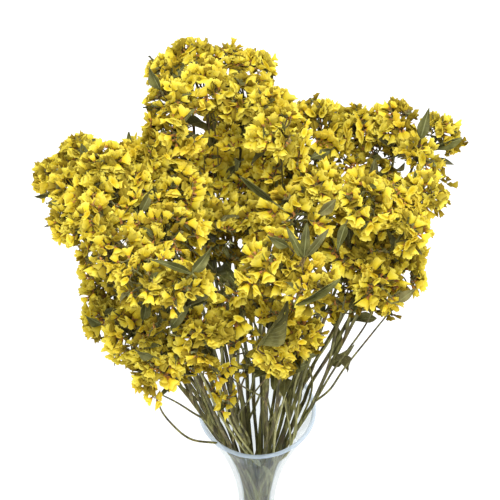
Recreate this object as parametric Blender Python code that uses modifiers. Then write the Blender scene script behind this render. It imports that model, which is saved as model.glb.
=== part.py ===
"""A big bunch of dried yellow statice standing in a clear trumpet vase.

Metres, +Z up, with the origin at the middle of the vase's flat base. Every spray of the bunch is
two pieces: a green leafy stem that forks below its flowers, and the yellow flowers of both forks,
which hold together. The flowers lie at many depths under a dome round the middle of the vase's
rim, and the stems run from them through the narrow waist of the vase to its floor.
"""

import math
import random

import bmesh
import bpy
import numpy as np
from mathutils import Matrix, Vector
from mathutils.bvhtree import BVHTree

# The gap between pieces that touch
GAP = 0.0003

# The vase, turned: a flared mouth, a narrow waist and a foot
VASE_HEIGHT = 0.235
RIM_RADIUS = 0.057
RIM_ROUND = 0.0018
WALL = 0.0042
WAIST_HEIGHT = 0.067
WAIST_RADIUS = 0.018
MOUTH_FLARE = 1.85
FOOT_RADIUS = 0.043
FOOT_FLARE = 2.2
FOOT_EDGE = 0.003
FLOOR_HEIGHT = 0.014
VASE_SIDES = 36
MOUTH_STEPS = 7
FOOT_STEPS = 3

# The dome of flowers, and the slanting view from the front in which the flowers are set out
DOME_RADIUS = 0.350
DOME_EDGE = 0.93
VIEW_SLANT = math.radians(50)
VIEW_DISTANCE = 1.5
AIM_ABOVE_RIM = 0.234
DEPTHS = (0.72, 0.79, 0.86, 0.92, 0.97, 1.01, 1.05)
DEPTH_PLAY = 0.03

# The stems: where they stand, how thick they are and how they bend
SLOT_PITCH = 0.0038
FOOT_SPREAD = 1.5
FOOT_TWIST = 0.35
LEAN_AT_RIM = 0.46
RIM_SPREAD = 0.044
MOUTH_SHARES = (0.36, 0.7, 1.0)
MOUTH_SPREAD = 1.5
STEM_PULL = 0.4
HEAD_PULL = 0.3
STEM_BOW = 0.012
RISE_STEPS = 5
FORK_STEP = 2
BRANCH_STEPS = 3
WAIST_STEM_RADIUS = 0.00145
STEM_RADIUS = 0.0018
TWIG_RADIUS = 0.0011
BRANCH_SHARE = 0.92
BRANCH_ROOT_RADIUS = 0.0006

# How stems are eased apart
ROUNDS = 220
STEM_CLEARANCE = 0.0009
GLASS_CLEARANCE = 0.0009
CORE_BERTH = 0.62
PUSH = 0.55
EASE = 0.04

# A head of florets, flatter than a ball: a small core that cups stand out of, and the twig
# between a spray's heads
WIDTH_GROWTH = 1.42
AXIS_LIFT = 0.3
CORE_SHARE = 0.32
CORE_SIDES = 5
CORE_RINGS = (32, 68, 108)
CORE_TURN = (0.1, 0.6)
CUP_REACHES = (0.80, 1.0)
CUP_SPREAD = 1.28
CUP_HEIGHT = 0.86
CUP_STRETCH = 1.12
CUP_JAG = 0.10
CUP_DISH = 0.70
CUP_DRAWN_IN = 0.18
LEAST_CUP = 1.5
CUP_SHRINK = 0.72
CUP_TRIES = 6
HEAD_REACH = 0.004
SHARE_LIMITS = (0.3, 0.7)
LINK_RADIUS = 0.0012
LINK_ARCH = 0.06

# A leaf, lance-shaped: its breadth at shares of its length
LEAF_LENGTH = 0.029
LEAF_WIDTH = 0.0105
LEAF_THICKNESS = 0.0008
LEAF_ARCH = 0.16
LEAF_STATIONS = ((0.0, 0.10), (0.34, 0.94), (0.68, 0.80), (1.0, 0.0))
LEAF_SIZES = (0.85, 1.12)
LEAF_ANGLES = (30, 65)
LEAF_BERTH = 0.0006
HEAD_BERTH = 0.78
ON_BRANCH = 0.45
LEAVES_A_STEM = 2
LEAF_TRIES = 60

STEM_SEED = 27
LEAF_SEED = 28
CUP_SEED = 29

# Where the two heads of each spray show, in millimetres across and up from the middle of the
# slanting view, with the width that each shows
SPRAYS = (
    ((-76, 151, 23), (-58, 160, 29)),
    ((-28, 156, 28), (-4, 153, 25)),
    ((-46, 136, 34), (-12, 129, 31)),
    ((-73, 125, 28), (-69, 102, 34)),
    ((-27, 100, 42), (-43, 68, 38)),
    ((-99, 78, 26), (-102, 53, 34)),
    ((10, 121, 23), (17, 97, 32)),
    ((54, 102, 38), (85, 99, 35)),
    ((99, 75, 36), (121, 108, 28)),
    ((154, 98, 24), (135, 77, 28)),
    ((-151, 79, 26), (-173, 61, 22)),
    ((-130, 71, 27), (-132, 46, 36)),
    ((-157, 53, 28), (-159, 27, 27)),
    ((-140, 20, 31), (-127, -3, 33)),
    ((-71, 47, 37), (-79, 13, 42)),
    ((4, 76, 40), (28, 58, 32)),
    ((-45, 18, 41), (-8, 24, 34)),
    ((51, 49, 36), (30, 25, 38)),
    ((139, 46, 28), (125, 18, 28)),
    ((85, 39, 37), (112, 35, 32)),
    ((113, 0, 34), (119, -20, 27)),
    ((78, -5, 34), (100, -30, 30)),
    ((-126, -24, 35), (-130, -58, 24)),
    ((-93, -27, 36), (-66, -34, 32)),
    ((-106, -69, 28), (-86, -99, 26)),
    ((-47, -72, 31), (-17, -42, 38)),
    ((12, -14, 39), (44, -29, 33)),
    ((33, -70, 26), (14, -91, 19)),
)

MM = 0.001
TINY = 0.0001
RIM_CENTRE = Vector((0, 0, VASE_HEIGHT))
UP = Vector((0, 0, 1))


def clear_scene():
    for obj in list(bpy.data.objects):
        bpy.data.objects.remove(obj, do_unlink=True)


def make_material(name, colour, roughness, transmission=0.0):
    material = bpy.data.materials.new(name)
    material.use_nodes = True
    shader = material.node_tree.nodes["Principled BSDF"]
    shader.inputs["Base Color"].default_value = (*colour, 1)
    shader.inputs["Roughness"].default_value = roughness
    shader.inputs["Metallic"].default_value = 0
    shader.inputs["Transmission Weight"].default_value = transmission
    material.diffuse_color = (*colour, 1)
    return material


def new_object(name, mesh, collection):
    obj = bpy.data.objects.new(name, mesh)
    collection.objects.link(obj)
    return obj


def object_from(name, bm, collection):
    mesh = bpy.data.meshes.new(name)
    bm.to_mesh(mesh)
    bm.free()
    return new_object(name, mesh, collection)


# The vase


def outer_radius(height):
    """The vase's outer radius: the mouth widens upwards from the waist, the foot downwards."""
    if height >= WAIST_HEIGHT:
        share = min(1, (height - WAIST_HEIGHT) / (VASE_HEIGHT - WAIST_HEIGHT))
        return WAIST_RADIUS + (RIM_RADIUS - WAIST_RADIUS) * share**MOUTH_FLARE
    share = 1 - height / WAIST_HEIGHT
    return WAIST_RADIUS + (FOOT_RADIUS - WAIST_RADIUS) * share**FOOT_FLARE


def inner_radius(height):
    return outer_radius(height) - WALL


def vase_profile():
    """Points (radius, height) from the middle of the inner floor, up, over the rim and down."""
    foot_rise = WAIST_HEIGHT - FLOOR_HEIGHT
    mouth_rise = VASE_HEIGHT - RIM_ROUND - WAIST_HEIGHT
    heights = [FLOOR_HEIGHT + foot_rise * k / FOOT_STEPS for k in range(FOOT_STEPS)]
    heights += [WAIST_HEIGHT + mouth_rise * k / MOUTH_STEPS for k in range(MOUTH_STEPS + 1)]
    inside = [(inner_radius(height), height) for height in heights]
    outside = [(outer_radius(height), height) for height in reversed(heights)]
    lip = [(RIM_RADIUS - RIM_ROUND * k, VASE_HEIGHT) for k in (1.6, 0.8)]
    foot = [(FOOT_RADIUS, FOOT_EDGE), (FOOT_RADIUS - FOOT_EDGE * 0.7, 0), (0, 0)]
    return [(0, FLOOR_HEIGHT), *inside, *lip, *outside, *foot]


def make_vase(collection, material):
    bm = bmesh.new()
    corners = [bm.verts.new((radius, 0, height)) for radius, height in vase_profile()]
    for first, second in zip(corners, corners[1:]):
        bm.edges.new((first, second))
    vase = object_from("vase", bm, collection)
    turn = vase.modifiers.new("Turn", "SCREW")
    turn.steps = VASE_SIDES
    turn.render_steps = VASE_SIDES
    turn.use_merge_vertices = True
    turn.merge_threshold = 0.00001
    vase.data.materials.append(material)


# The plan of the bunch: where each head sits and which way its stem runs


def place_head(across, up, width, reach):
    """A head's middle under the dome, with its axis and radius, from where it shows in the view."""
    toward = Vector((0, -math.cos(VIEW_SLANT), math.sin(VIEW_SLANT)))
    rise = Vector((0, math.sin(VIEW_SLANT), math.cos(VIEW_SLANT)))
    aim = RIM_CENTRE + UP * AIM_ABOVE_RIM
    eye = aim + toward * VIEW_DISTANCE
    spot = aim + Vector((across * MM, 0, 0)) + rise * up * MM
    way = (spot - eye).normalized()
    start = eye - RIM_CENTRE
    nearest = -start.dot(way)
    missed = start.length_squared - nearest**2
    radius = max(DOME_RADIUS * reach, math.sqrt(missed) / DOME_EDGE)
    distance = nearest - math.sqrt(radius**2 - missed)
    middle = eye + way * distance
    return {
        "middle": middle,
        "axis": ((middle - RIM_CENTRE).normalized() + UP * AXIS_LIFT).normalized(),
        "radius": width * MM / 2 * WIDTH_GROWTH * distance / VIEW_DISTANCE,
    }


def waist_slots(count):
    """Places for the stems in the waist, packed like a honeycomb."""
    slots = []
    for row in range(-4, 5):
        for column in range(-6, 7):
            slots.append(Vector((column + row / 2, row * math.sqrt(3) / 2)) * SLOT_PITCH)
    slots.sort(key=lambda slot: (round(slot.length, 6), round(math.atan2(slot.y, slot.x), 4)))
    return slots[:count]


def lean_of(spray):
    """How far a spray leans out from the vase's axis, as a share of the most that one leans."""
    middle = (spray["heads"][0]["middle"] + spray["heads"][1]["middle"]) / 2
    return Vector((middle.x, middle.y)) / (DOME_RADIUS * LEAN_AT_RIM)


def give_slots(sprays):
    """A slot for each stem, on the side that it leans to, swapped until no swap straightens them."""
    slots = waist_slots(len(sprays))
    wanted = [lean_of(spray) for spray in sprays]
    improved = True
    while improved:
        improved = False
        for a in range(len(slots)):
            for b in range(a):
                if (slots[a] - slots[b]).dot(wanted[a] - wanted[b]) < -1e-9:
                    slots[a], slots[b] = slots[b], slots[a]
                    improved = True
    return slots


def bezier(start, start_pull, end_pull, end, share):
    back = 1 - share
    return (
        start * back**3
        + start_pull * 3 * back**2 * share
        + end_pull * 3 * back * share**2
        + end * share**3
    )


def curve_to(start, heading, head, steps):
    """Points from start along a smooth curve up to the seat of a head, a gap below its core."""
    seat = head["middle"] - head["axis"] * (head["radius"] * CORE_SHARE + GAP)
    reach = (seat - start).length
    first_pull = start + heading * reach * STEM_PULL
    last_pull = seat - head["axis"] * reach * HEAD_PULL
    return [bezier(start, first_pull, last_pull, seat, step / steps) for step in range(1, steps + 1)]


def plan_stem(spray, slot, rng):
    """The stem from the vase's floor to its first head, and the branch to the second."""
    first, second = spray["heads"]
    lean = lean_of(spray)
    at_rim = lean * RIM_SPREAD / max(lean.length, 1)
    foot = Matrix.Rotation(-FOOT_TWIST, 2) @ slot * FOOT_SPREAD
    stem = [
        foot.to_3d() + UP * (FLOOR_HEIGHT + GAP),
        foot.lerp(slot, 0.5).to_3d() + UP * (FLOOR_HEIGHT + WAIST_HEIGHT) / 2,
        slot.to_3d() + UP * WAIST_HEIGHT,
    ]
    for share in MOUTH_SHARES:
        place = slot.lerp(at_rim, share**MOUTH_SPREAD)
        stem.append(place.to_3d() + UP * (WAIST_HEIGHT + (VASE_HEIGHT - WAIST_HEIGHT) * share))
    heading = (stem[-1] - stem[-2]).normalized()
    bow = Vector((rng.uniform(-1, 1), rng.uniform(-1, 1), 0)) * STEM_BOW
    rise = curve_to(stem[-1], heading, first, RISE_STEPS)
    for step, point in enumerate(rise, 1):
        stem.append(point + bow * math.sin(math.pi * step / RISE_STEPS) ** 2)
    fork = len(stem) - 1 - RISE_STEPS + FORK_STEP
    heading = (stem[fork + 1] - stem[fork - 1]).normalized()
    spray["stem"] = stem
    spray["fork"] = fork
    spray["branch"] = [stem[fork], *curve_to(stem[fork], heading, second, BRANCH_STEPS)]


def link_way(spray):
    """The twig that holds the two heads of a spray together, from core to core, arched over."""
    first, second = spray["heads"]
    apart = (second["middle"] - first["middle"]).length
    crown = first["middle"].lerp(second["middle"], 0.5)
    crown += (first["axis"] + second["axis"]) * apart * LINK_ARCH
    return [first["middle"], crown, second["middle"]]


def stem_radius(point):
    """Stems are thickest at the vase's rim: they are pressed thin in the waist and thin out above."""
    if point[2] < VASE_HEIGHT:
        share = max(0, (point[2] - WAIST_HEIGHT) / (VASE_HEIGHT - WAIST_HEIGHT))
        return WAIST_STEM_RADIUS + (STEM_RADIUS - WAIST_STEM_RADIUS) * share
    share = min(1, (Vector(point) - RIM_CENTRE).length / DOME_RADIUS)
    return STEM_RADIUS + (TWIG_RADIUS - STEM_RADIUS) * share


def closest(p0, p1, q0, q1):
    """Shares along each pair of segments at their closest points, and the way between them."""
    u = p1 - p0
    v = q1 - q0
    w = p0 - q0
    a = (u * u).sum(-1)
    b = (u * v).sum(-1)
    c = (v * v).sum(-1)
    d = (u * w).sum(-1)
    e = (v * w).sum(-1)
    s = np.clip((b * e - c * d) / np.maximum(a * c - b * b, 1e-14), 0, 1)
    t = np.clip((b * s + e) / np.maximum(c, 1e-14), 0, 1)
    s = np.clip((b * t - d) / np.maximum(a, 1e-14), 0, 1)
    return s, t, (p0 + u * s[..., None]) - (q0 + v * t[..., None])


def gather_ways(sprays):
    """All stems, branches and links as arrays: points, radii, which are free, and their legs."""
    points, radii, free, legs = [], [], [], []
    for number, spray in enumerate(sprays):
        ways = {"stem": spray["stem"], "branch": spray["branch"], "link": link_way(spray)}
        for bears, (name, way) in enumerate(ways.items()):
            first = len(points)
            spray[name + "_start"] = first
            points += [tuple(point) for point in way]
            radii += [LINK_RADIUS if name == "link" else stem_radius(point) for point in way]
            fixed = {0, len(way) - 1, 2 if name == "stem" else 0}
            free += [0.0 if name == "link" or place in fixed else 1.0 for place in range(len(way))]
            legs += [(first + k, first + k + 1, number, bears) for k in range(len(way) - 1)]
    return np.array(points), np.array(radii), np.array(free)[:, None], np.array(legs)


def push_stems(points, radii, one, two, pairs):
    """How each point should move so that legs of different sprays stop touching."""
    push = np.zeros_like(points)
    a, b = pairs
    s, t, way = closest(points[one[a]], points[two[a]], points[one[b]], points[two[b]])
    apart = np.linalg.norm(way, axis=1)
    short = radii[one[a]] + radii[one[b]] + STEM_CLEARANCE - apart
    near = short > 0
    a, b, s, t = a[near], b[near], s[near, None], t[near, None]
    move = way[near] / np.maximum(apart[near], 1e-6)[:, None] * short[near, None] * PUSH
    np.add.at(push, one[a], move * (1 - s))
    np.add.at(push, two[a], move * s)
    np.add.at(push, one[b], -move * (1 - t))
    np.add.at(push, two[b], -move * t)
    return push


def push_from_core(points, radii, one, two, core, berth, foreign):
    """How each point should move so that foreign legs stop touching one head's core."""
    push = np.zeros_like(points)
    along = points[two] - points[one]
    share = ((core - points[one]) * along).sum(1) / (along * along).sum(1)
    share = np.clip(share, 0, 1)[:, None]
    off = points[one] + along * share - core
    apart = np.linalg.norm(off, axis=1)
    short = berth + radii[one] - apart
    close = foreign & (short > 0)
    move = off[close] / apart[close, None] * short[close, None] * PUSH
    np.add.at(push, one[close], move * (1 - share[close]))
    np.add.at(push, two[close], move * share[close])
    return push


def keep_in_vase(points, radii):
    """Draws each point that stands inside the vase in from the glass."""
    for index in np.flatnonzero(points[:, 2] < VASE_HEIGHT + GLASS_CLEARANCE):
        height = min(points[index, 2], VASE_HEIGHT)
        room = inner_radius(height) - radii[index] - GLASS_CLEARANCE
        out = math.hypot(points[index, 0], points[index, 1])
        if out > room:
            points[index, :2] *= room / out


def spread_stems(sprays):
    """Eases the stems apart where they would touch each other, a foreign core or the glass."""
    points, radii, free, legs = gather_ways(sprays)
    one, two, number, bears = legs.T
    a, b = np.triu_indices(len(legs), 1)
    strangers = number[a] != number[b]
    pairs = a[strangers], b[strangers]
    for _ in range(ROUNDS):
        push = push_stems(points, radii, one, two, pairs)
        for spray_number, spray in enumerate(sprays):
            for place, head in enumerate(spray["heads"]):
                foreign = (number != spray_number) | (bears == 1 - place)
                core = np.array(tuple(head["middle"]))
                push += push_from_core(
                    points, radii, one, two, core, head["radius"] * CORE_BERTH, foreign
                )
        low = points[:, 2] < VASE_HEIGHT + TINY
        push[low, 2] = 0
        points += push * free
        for spray in sprays:
            first = spray["stem_start"]
            own = slice(first, first + len(spray["stem"]))
            ease = (points[own][:-2] + points[own][2:] - 2 * points[own][1:-1]) * EASE
            ease *= free[own][1:-1]
            ease[low[own][1:-1], 2] = 0
            points[first + 1 : first + len(spray["stem"]) - 1] += ease
            points[spray["branch_start"]] = points[first + spray["fork"]]
        keep_in_vase(points, radii)
    for spray in sprays:
        for name in ("stem", "branch"):
            first = spray[name + "_start"]
            spray[name] = [Vector(point) for point in points[first : first + len(spray[name])]]


def plan_bunch():
    rng = random.Random(STEM_SEED)
    sprays = []
    for pair in SPRAYS:
        depth = rng.choice(DEPTHS)
        play = [1 + rng.uniform(-DEPTH_PLAY, DEPTH_PLAY) for _ in pair]
        sprays.append({"heads": [place_head(*spot, depth * more) for spot, more in zip(pair, play)]})
    for spray, slot in zip(sprays, give_slots(sprays)):
        plan_stem(spray, slot, rng)
    spread_stems(sprays)
    return sprays


# The green pieces


def tube(name, way, radii, collection):
    """A twig: a curve with a square bevel and filled caps, made a welded mesh."""
    curve = bpy.data.curves.new(name, "CURVE")
    curve.dimensions = "3D"
    curve.bevel_depth = 1.0
    curve.bevel_resolution = 0
    curve.use_fill_caps = True
    spline = curve.splines.new("POLY")
    spline.points.add(len(way) - 1)
    for point, place, radius in zip(spline.points, way, radii):
        point.co = (*place, 1)
        point.radius = radius
    guide = new_object(name + "_curve", curve, collection)
    graph = bpy.context.evaluated_depsgraph_get()
    mesh = bpy.data.meshes.new_from_object(guide.evaluated_get(graph))
    bpy.data.objects.remove(guide, do_unlink=True)
    bm = bmesh.new()
    bm.from_mesh(mesh)
    bmesh.ops.remove_doubles(bm, verts=bm.verts[:], dist=0.00001)
    bmesh.ops.triangulate(bm, faces=bm.faces[:])
    bpy.data.meshes.remove(mesh)
    return object_from(name, bm, collection)


def leaf_bmesh(place, along, face, length, width, thickness):
    """A lance-shaped leaf, arched back a little: a strip of three faces with pointed ends."""
    bm = bmesh.new()
    bmesh.ops.create_grid(bm, x_segments=3, y_segments=1, size=1)
    for vert in bm.verts:
        share, breadth = LEAF_STATIONS[round((vert.co.x + 1) * 1.5)]
        side = math.copysign(breadth * width / 2, vert.co.y)
        vert.co = (share * length, side, -LEAF_ARCH * share**2 * length)
    bmesh.ops.remove_doubles(bm, verts=bm.verts[:], dist=0.00005)
    raised = bmesh.ops.extrude_face_region(bm, geom=bm.faces[:])["geom"]
    top = [piece for piece in raised if isinstance(piece, bmesh.types.BMVert)]
    bmesh.ops.translate(bm, verts=top, vec=(0, 0, thickness))
    bmesh.ops.translate(bm, verts=bm.verts[:], vec=(0, 0, -thickness / 2))
    bmesh.ops.recalc_face_normals(bm, faces=bm.faces[:])
    bmesh.ops.triangulate(bm, faces=bm.faces[:])
    sideways = face.cross(along).normalized()
    upwards = along.cross(sideways).normalized()
    turn = Matrix((along, sideways, upwards)).transposed().to_4x4()
    bmesh.ops.transform(bm, matrix=Matrix.Translation(place) @ turn, verts=bm.verts[:])
    return bm


def tree_of(bm):
    tree = BVHTree.FromBMesh(bm)
    bm.free()
    return tree


def stem_tree(spray, berth):
    """A search tree of a stem and its branch, fatter than they are by a berth all round."""
    bm = bmesh.new()
    for way in (spray["stem"], spray["branch"]):
        for start, end in zip(way, way[1:]):
            run = end - start
            turn = run.to_track_quat("Z", "Y").to_matrix().to_4x4()
            radius = stem_radius(start) * 1.15 + berth
            bmesh.ops.create_cone(
                bm,
                segments=6,
                radius1=radius,
                radius2=radius,
                depth=run.length,
                cap_ends=True,
                matrix=Matrix.Translation((start + end) / 2) @ turn,
            )
    return tree_of(bm)


def try_leaf(spray, rng):
    """A leaf at some place on the branch or on the upper stem, turned to face outwards."""
    way = spray["branch"] if rng.random() < ON_BRANCH else spray["stem"][spray["fork"] - 1 :]
    leg = rng.randrange(0 if way is not spray["branch"] else 1, len(way) - 1)
    place = way[leg].lerp(way[leg + 1], rng.random())
    tangent = (way[leg + 1] - way[leg]).normalized()
    side = Vector([rng.gauss(0, 1) for _ in range(3)])
    side = (side - tangent * side.dot(tangent)).normalized()
    angle = math.radians(rng.uniform(*LEAF_ANGLES))
    along = (tangent * math.cos(angle) + side * math.sin(angle)).normalized()
    outward = (place - RIM_CENTRE).normalized()
    face = (outward - along * outward.dot(along)).normalized()
    size = rng.uniform(*LEAF_SIZES)
    return place, along, face, LEAF_LENGTH * size, LEAF_WIDTH * size


def near_head(leaf, heads):
    place, along, _, length, _ = leaf
    spots = (place + along * length, place + along * length * 0.55)
    return any(
        (spot - head["middle"]).length < head["radius"] * HEAD_BERTH for spot in spots for head in heads
    )


def add_leaves(sprays):
    """Chooses a few leaves for each stem, clear of the other stems, and returns all their trees."""
    rng = random.Random(LEAF_SEED)
    stems = [stem_tree(spray, LEAF_BERTH) for spray in sprays]
    heads = [head for spray in sprays for head in spray["heads"]]
    placed = []
    for number, spray in enumerate(sprays):
        spray["leaves"] = []
        others = stems[:number] + stems[number + 1 :]
        for _ in range(LEAF_TRIES):
            if len(spray["leaves"]) == LEAVES_A_STEM:
                break
            leaf = try_leaf(spray, rng)
            if near_head(leaf, heads):
                continue
            tree = tree_of(leaf_bmesh(*leaf, LEAF_THICKNESS + 2 * LEAF_BERTH))
            if not any(tree.overlap(other) for other in others + placed):
                placed.append(tree)
                spray["leaves"].append(leaf)
    return placed


def keep_largest(bm):
    """Drops loose scraps and sealed hollows: all but the surface with the most corners."""
    left = set(bm.verts)
    islands = []
    while left:
        stack = [left.pop()]
        island = set(stack)
        while stack:
            for edge in stack.pop().link_edges:
                for vert in edge.verts:
                    if vert in left:
                        left.remove(vert)
                        island.add(vert)
                        stack.append(vert)
        islands.append(island)
    largest = max(islands, key=len)
    scraps = [vert for island in islands if island is not largest for vert in island]
    bmesh.ops.delete(bm, geom=scraps, context="VERTS")


def fuse(name, pieces, collection, material):
    """One body from closed pieces that overlap, by a Boolean union on a collection."""
    base, others = pieces[0], pieces[1:]
    group = bpy.data.collections.new(name + "_pieces")
    bpy.context.scene.collection.children.link(group)
    for piece in others:
        collection.objects.unlink(piece)
        group.objects.link(piece)
    union = base.modifiers.new("Union", "BOOLEAN")
    union.operation = "UNION"
    union.operand_type = "COLLECTION"
    union.collection = group
    union.solver = "EXACT"
    graph = bpy.context.evaluated_depsgraph_get()
    mesh = bpy.data.meshes.new_from_object(base.evaluated_get(graph))
    for piece in pieces:
        bpy.data.objects.remove(piece, do_unlink=True)
    bpy.data.collections.remove(group)
    bm = bmesh.new()
    bm.from_mesh(mesh)
    bpy.data.meshes.remove(mesh)
    bmesh.ops.remove_doubles(bm, verts=bm.verts[:], dist=0.000002)
    keep_largest(bm)
    bmesh.ops.triangulate(bm, faces=bm.faces[:])
    fused = object_from(name, bm, collection)
    fused.data.materials.append(material)
    return fused


def make_stem(number, spray, collection, material):
    branch_radii = [stem_radius(point) * BRANCH_SHARE for point in spray["branch"]]
    branch_radii[0] = BRANCH_ROOT_RADIUS
    pieces = [
        tube("stem_run", spray["stem"], [stem_radius(point) for point in spray["stem"]], collection),
        tube("branch_run", spray["branch"], branch_radii, collection),
    ]
    for leaf in spray["leaves"]:
        pieces.append(object_from("leaf", leaf_bmesh(*leaf, LEAF_THICKNESS), collection))
    fuse(f"stem_{number:02d}", pieces, collection, material)


# The yellow pieces


def room_for_cup(head, heads, direction):
    """How far a cup may reach this way, which is further sideways, before it meets another head."""
    lift = direction.dot(head["axis"])
    sideways = math.sqrt(max(0, 1 - lift**2))
    reach = head["radius"] / math.hypot(lift / CUP_HEIGHT, sideways / CUP_SPREAD)
    for other in heads:
        between = other["middle"] - head["middle"]
        apart = between.length
        if other is head or apart > (head["radius"] + other["radius"]) * CUP_SPREAD + HEAD_REACH:
            continue
        share = (apart**2 + head["radius"] ** 2 - other["radius"] ** 2) / (2 * apart**2)
        plane = apart * min(max(share, SHARE_LIMITS[0]), SHARE_LIMITS[1]) - 2 * GAP
        closing = direction.dot(between / apart)
        if closing * reach > plane:
            reach = plane / closing
    return reach


def core_bmesh(head, turn):
    """The core: a ball of a few rings, with one flat face on top and its pole on the stem's side."""
    bm = bmesh.new()
    bmesh.ops.create_uvsphere(bm, u_segments=CORE_SIDES, v_segments=4, radius=1)
    top = max(bm.verts, key=lambda vert: vert.co.z)
    bmesh.ops.dissolve_verts(bm, verts=[top])
    pose = head["axis"].to_track_quat("Z", "Y").to_matrix()
    for vert in bm.verts:
        ring = round(math.acos(max(-1, min(1, vert.co.z))) / math.radians(45))
        if ring <= len(CORE_RINGS):
            slope = math.radians(CORE_RINGS[ring - 1])
            bearing = math.atan2(vert.co.y, vert.co.x) + turn * ring
            flat = math.sin(slope)
            vert.co = (flat * math.cos(bearing), flat * math.sin(bearing), math.cos(slope))
        vert.co = pose @ vert.co * head["radius"] * CORE_SHARE
    return bm


def raise_cup(bm, face, head, heads, share):
    """Draws one face of the core out into a dished cup with pointed corners, and returns its faces."""
    facing = face.calc_center_median().normalized()
    mouth = bmesh.ops.extrude_discrete_faces(bm, faces=[face])["faces"][0]
    ways = [vert.co.normalized().lerp(facing, CUP_DRAWN_IN).normalized() for vert in mouth.verts]
    limits = [room_for_cup(head, heads, way) * share for way in ways]
    reach = min(limits)
    for place, (vert, way, limit) in enumerate(zip(mouth.verts, ways, limits)):
        jag = 1 + CUP_JAG * (1 if place % 2 else -1)
        vert.co = way * min(reach * CUP_STRETCH * jag, limit)
    walls = {side for edge in mouth.edges for side in edge.link_faces} - {mouth}
    middle = bmesh.ops.poke(bm, faces=[mouth])["verts"][0]
    middle.co = facing * max(reach * CUP_DISH, head["radius"] * CORE_SHARE * 1.05)
    return walls | set(middle.link_faces)


def head_bmesh(head, heads, cups, turn):
    """A core with a cup on each of its faces but the lowest; a cup of 0 leaves its face plain."""
    bm = core_bmesh(head, turn)
    number = bm.faces.layers.int.new("cup")
    faces = [face for face in bm.faces if len(face.verts) > 3]
    faces.sort(key=lambda face: tuple(round(x, 7) for x in face.calc_center_median()))
    for index, (face, share) in enumerate(zip(faces, cups), 1):
        if share > 0:
            for side in raise_cup(bm, face, head, heads, share):
                side[number] = index
    bmesh.ops.triangulate(bm, faces=bm.faces[:])
    bmesh.ops.translate(bm, vec=head["middle"], verts=bm.verts[:])
    bmesh.ops.recalc_face_normals(bm, faces=bm.faces[:])
    bm.faces.ensure_lookup_table()
    return bm, number


def clear_head(head, heads, obstacles, rng):
    """Builds a head, drawing in each cup that a stem or a leaf passes through."""
    cups = [rng.uniform(*CUP_REACHES) for _ in range(2 * CORE_SIDES + 1)]
    turn = rng.uniform(*CORE_TURN)
    for attempt in range(CUP_TRIES + 1):
        bm, number = head_bmesh(head, heads, cups, turn)
        tree = BVHTree.FromBMesh(bm)
        crossed = {face for obstacle in obstacles for face, _ in tree.overlap(obstacle)}
        hit = {bm.faces[face][number] for face in crossed} - {0}
        if not hit:
            break
        for index in hit:
            cups[index - 1] *= CUP_SHRINK
            if cups[index - 1] < CORE_SHARE * LEAST_CUP or attempt == CUP_TRIES - 1:
                cups[index - 1] = 0
        if attempt < CUP_TRIES:
            bm.free()
    return bm


def make_flowers(number, spray, heads, obstacles, collection, material, rng):
    pieces = [
        object_from("head", clear_head(head, heads, obstacles, rng), collection)
        for head in spray["heads"]
    ]
    way = link_way(spray)
    pieces.append(tube("link", way, [LINK_RADIUS] * len(way), collection))
    fuse(f"flowers_{number:02d}", pieces, collection, material)


def main():
    clear_scene()
    collection = bpy.data.collections.new("dried_statice_in_vase")
    bpy.context.scene.collection.children.link(collection)
    glass = make_material("clear_glass", (0.86, 0.90, 0.93), 0.05, 1.0)
    green = make_material("dried_green", (0.20, 0.21, 0.08), 0.75)
    yellow = make_material("papery_yellow", (0.83, 0.66, 0.06), 0.7)
    make_vase(collection, glass)
    sprays = plan_bunch()
    heads = [head for spray in sprays for head in spray["heads"]]
    obstacles = add_leaves(sprays) + [stem_tree(spray, GAP) for spray in sprays]
    rng = random.Random(CUP_SEED)
    for number, spray in enumerate(sprays, 1):
        make_stem(number, spray, collection, green)
        make_flowers(number, spray, heads, obstacles, collection, yellow, rng)


main()
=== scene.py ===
# %% [markdown]
# # A bunch of dried statice in a clear vase
#
# Statice keeps its colour when it dries, because what looks like petals is a papery cup that was
# never juicy. Thousands of those cups make this bunch, on winged green stems that stand in a
# flared glass vase. The solids of the frame already have each stem, each head of flowers and the
# vase at their real size. This lesson dresses them: it makes one good floret, leaf and twig, and
# stamps them where the frame has its heads and stems.

import math
import random

import bmesh
import bpy
import numpy as np
from mathutils import Matrix, Vector
from mathutils.bvhtree import BVHTree


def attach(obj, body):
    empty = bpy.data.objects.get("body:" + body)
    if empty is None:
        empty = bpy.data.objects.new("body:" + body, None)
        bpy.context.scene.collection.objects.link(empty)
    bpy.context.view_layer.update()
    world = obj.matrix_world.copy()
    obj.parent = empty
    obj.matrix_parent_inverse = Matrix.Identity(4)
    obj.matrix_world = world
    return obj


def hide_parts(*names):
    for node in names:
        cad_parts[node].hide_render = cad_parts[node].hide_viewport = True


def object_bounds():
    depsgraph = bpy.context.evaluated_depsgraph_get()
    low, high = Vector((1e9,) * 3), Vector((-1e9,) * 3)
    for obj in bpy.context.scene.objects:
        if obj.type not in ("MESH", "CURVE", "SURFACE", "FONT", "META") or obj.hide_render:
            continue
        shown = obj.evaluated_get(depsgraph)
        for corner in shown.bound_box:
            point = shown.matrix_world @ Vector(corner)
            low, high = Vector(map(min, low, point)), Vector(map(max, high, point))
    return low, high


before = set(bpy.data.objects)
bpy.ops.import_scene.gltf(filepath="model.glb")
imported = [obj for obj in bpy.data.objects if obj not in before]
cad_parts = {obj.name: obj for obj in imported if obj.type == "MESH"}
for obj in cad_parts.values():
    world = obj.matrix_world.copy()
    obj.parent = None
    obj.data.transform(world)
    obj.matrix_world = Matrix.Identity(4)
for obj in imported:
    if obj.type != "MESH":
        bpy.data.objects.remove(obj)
CAD_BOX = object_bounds()
SPRAY_COUNT = sum(name.startswith("stem_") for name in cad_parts)
print("sprays in the frame:", SPRAY_COUNT)

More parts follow.
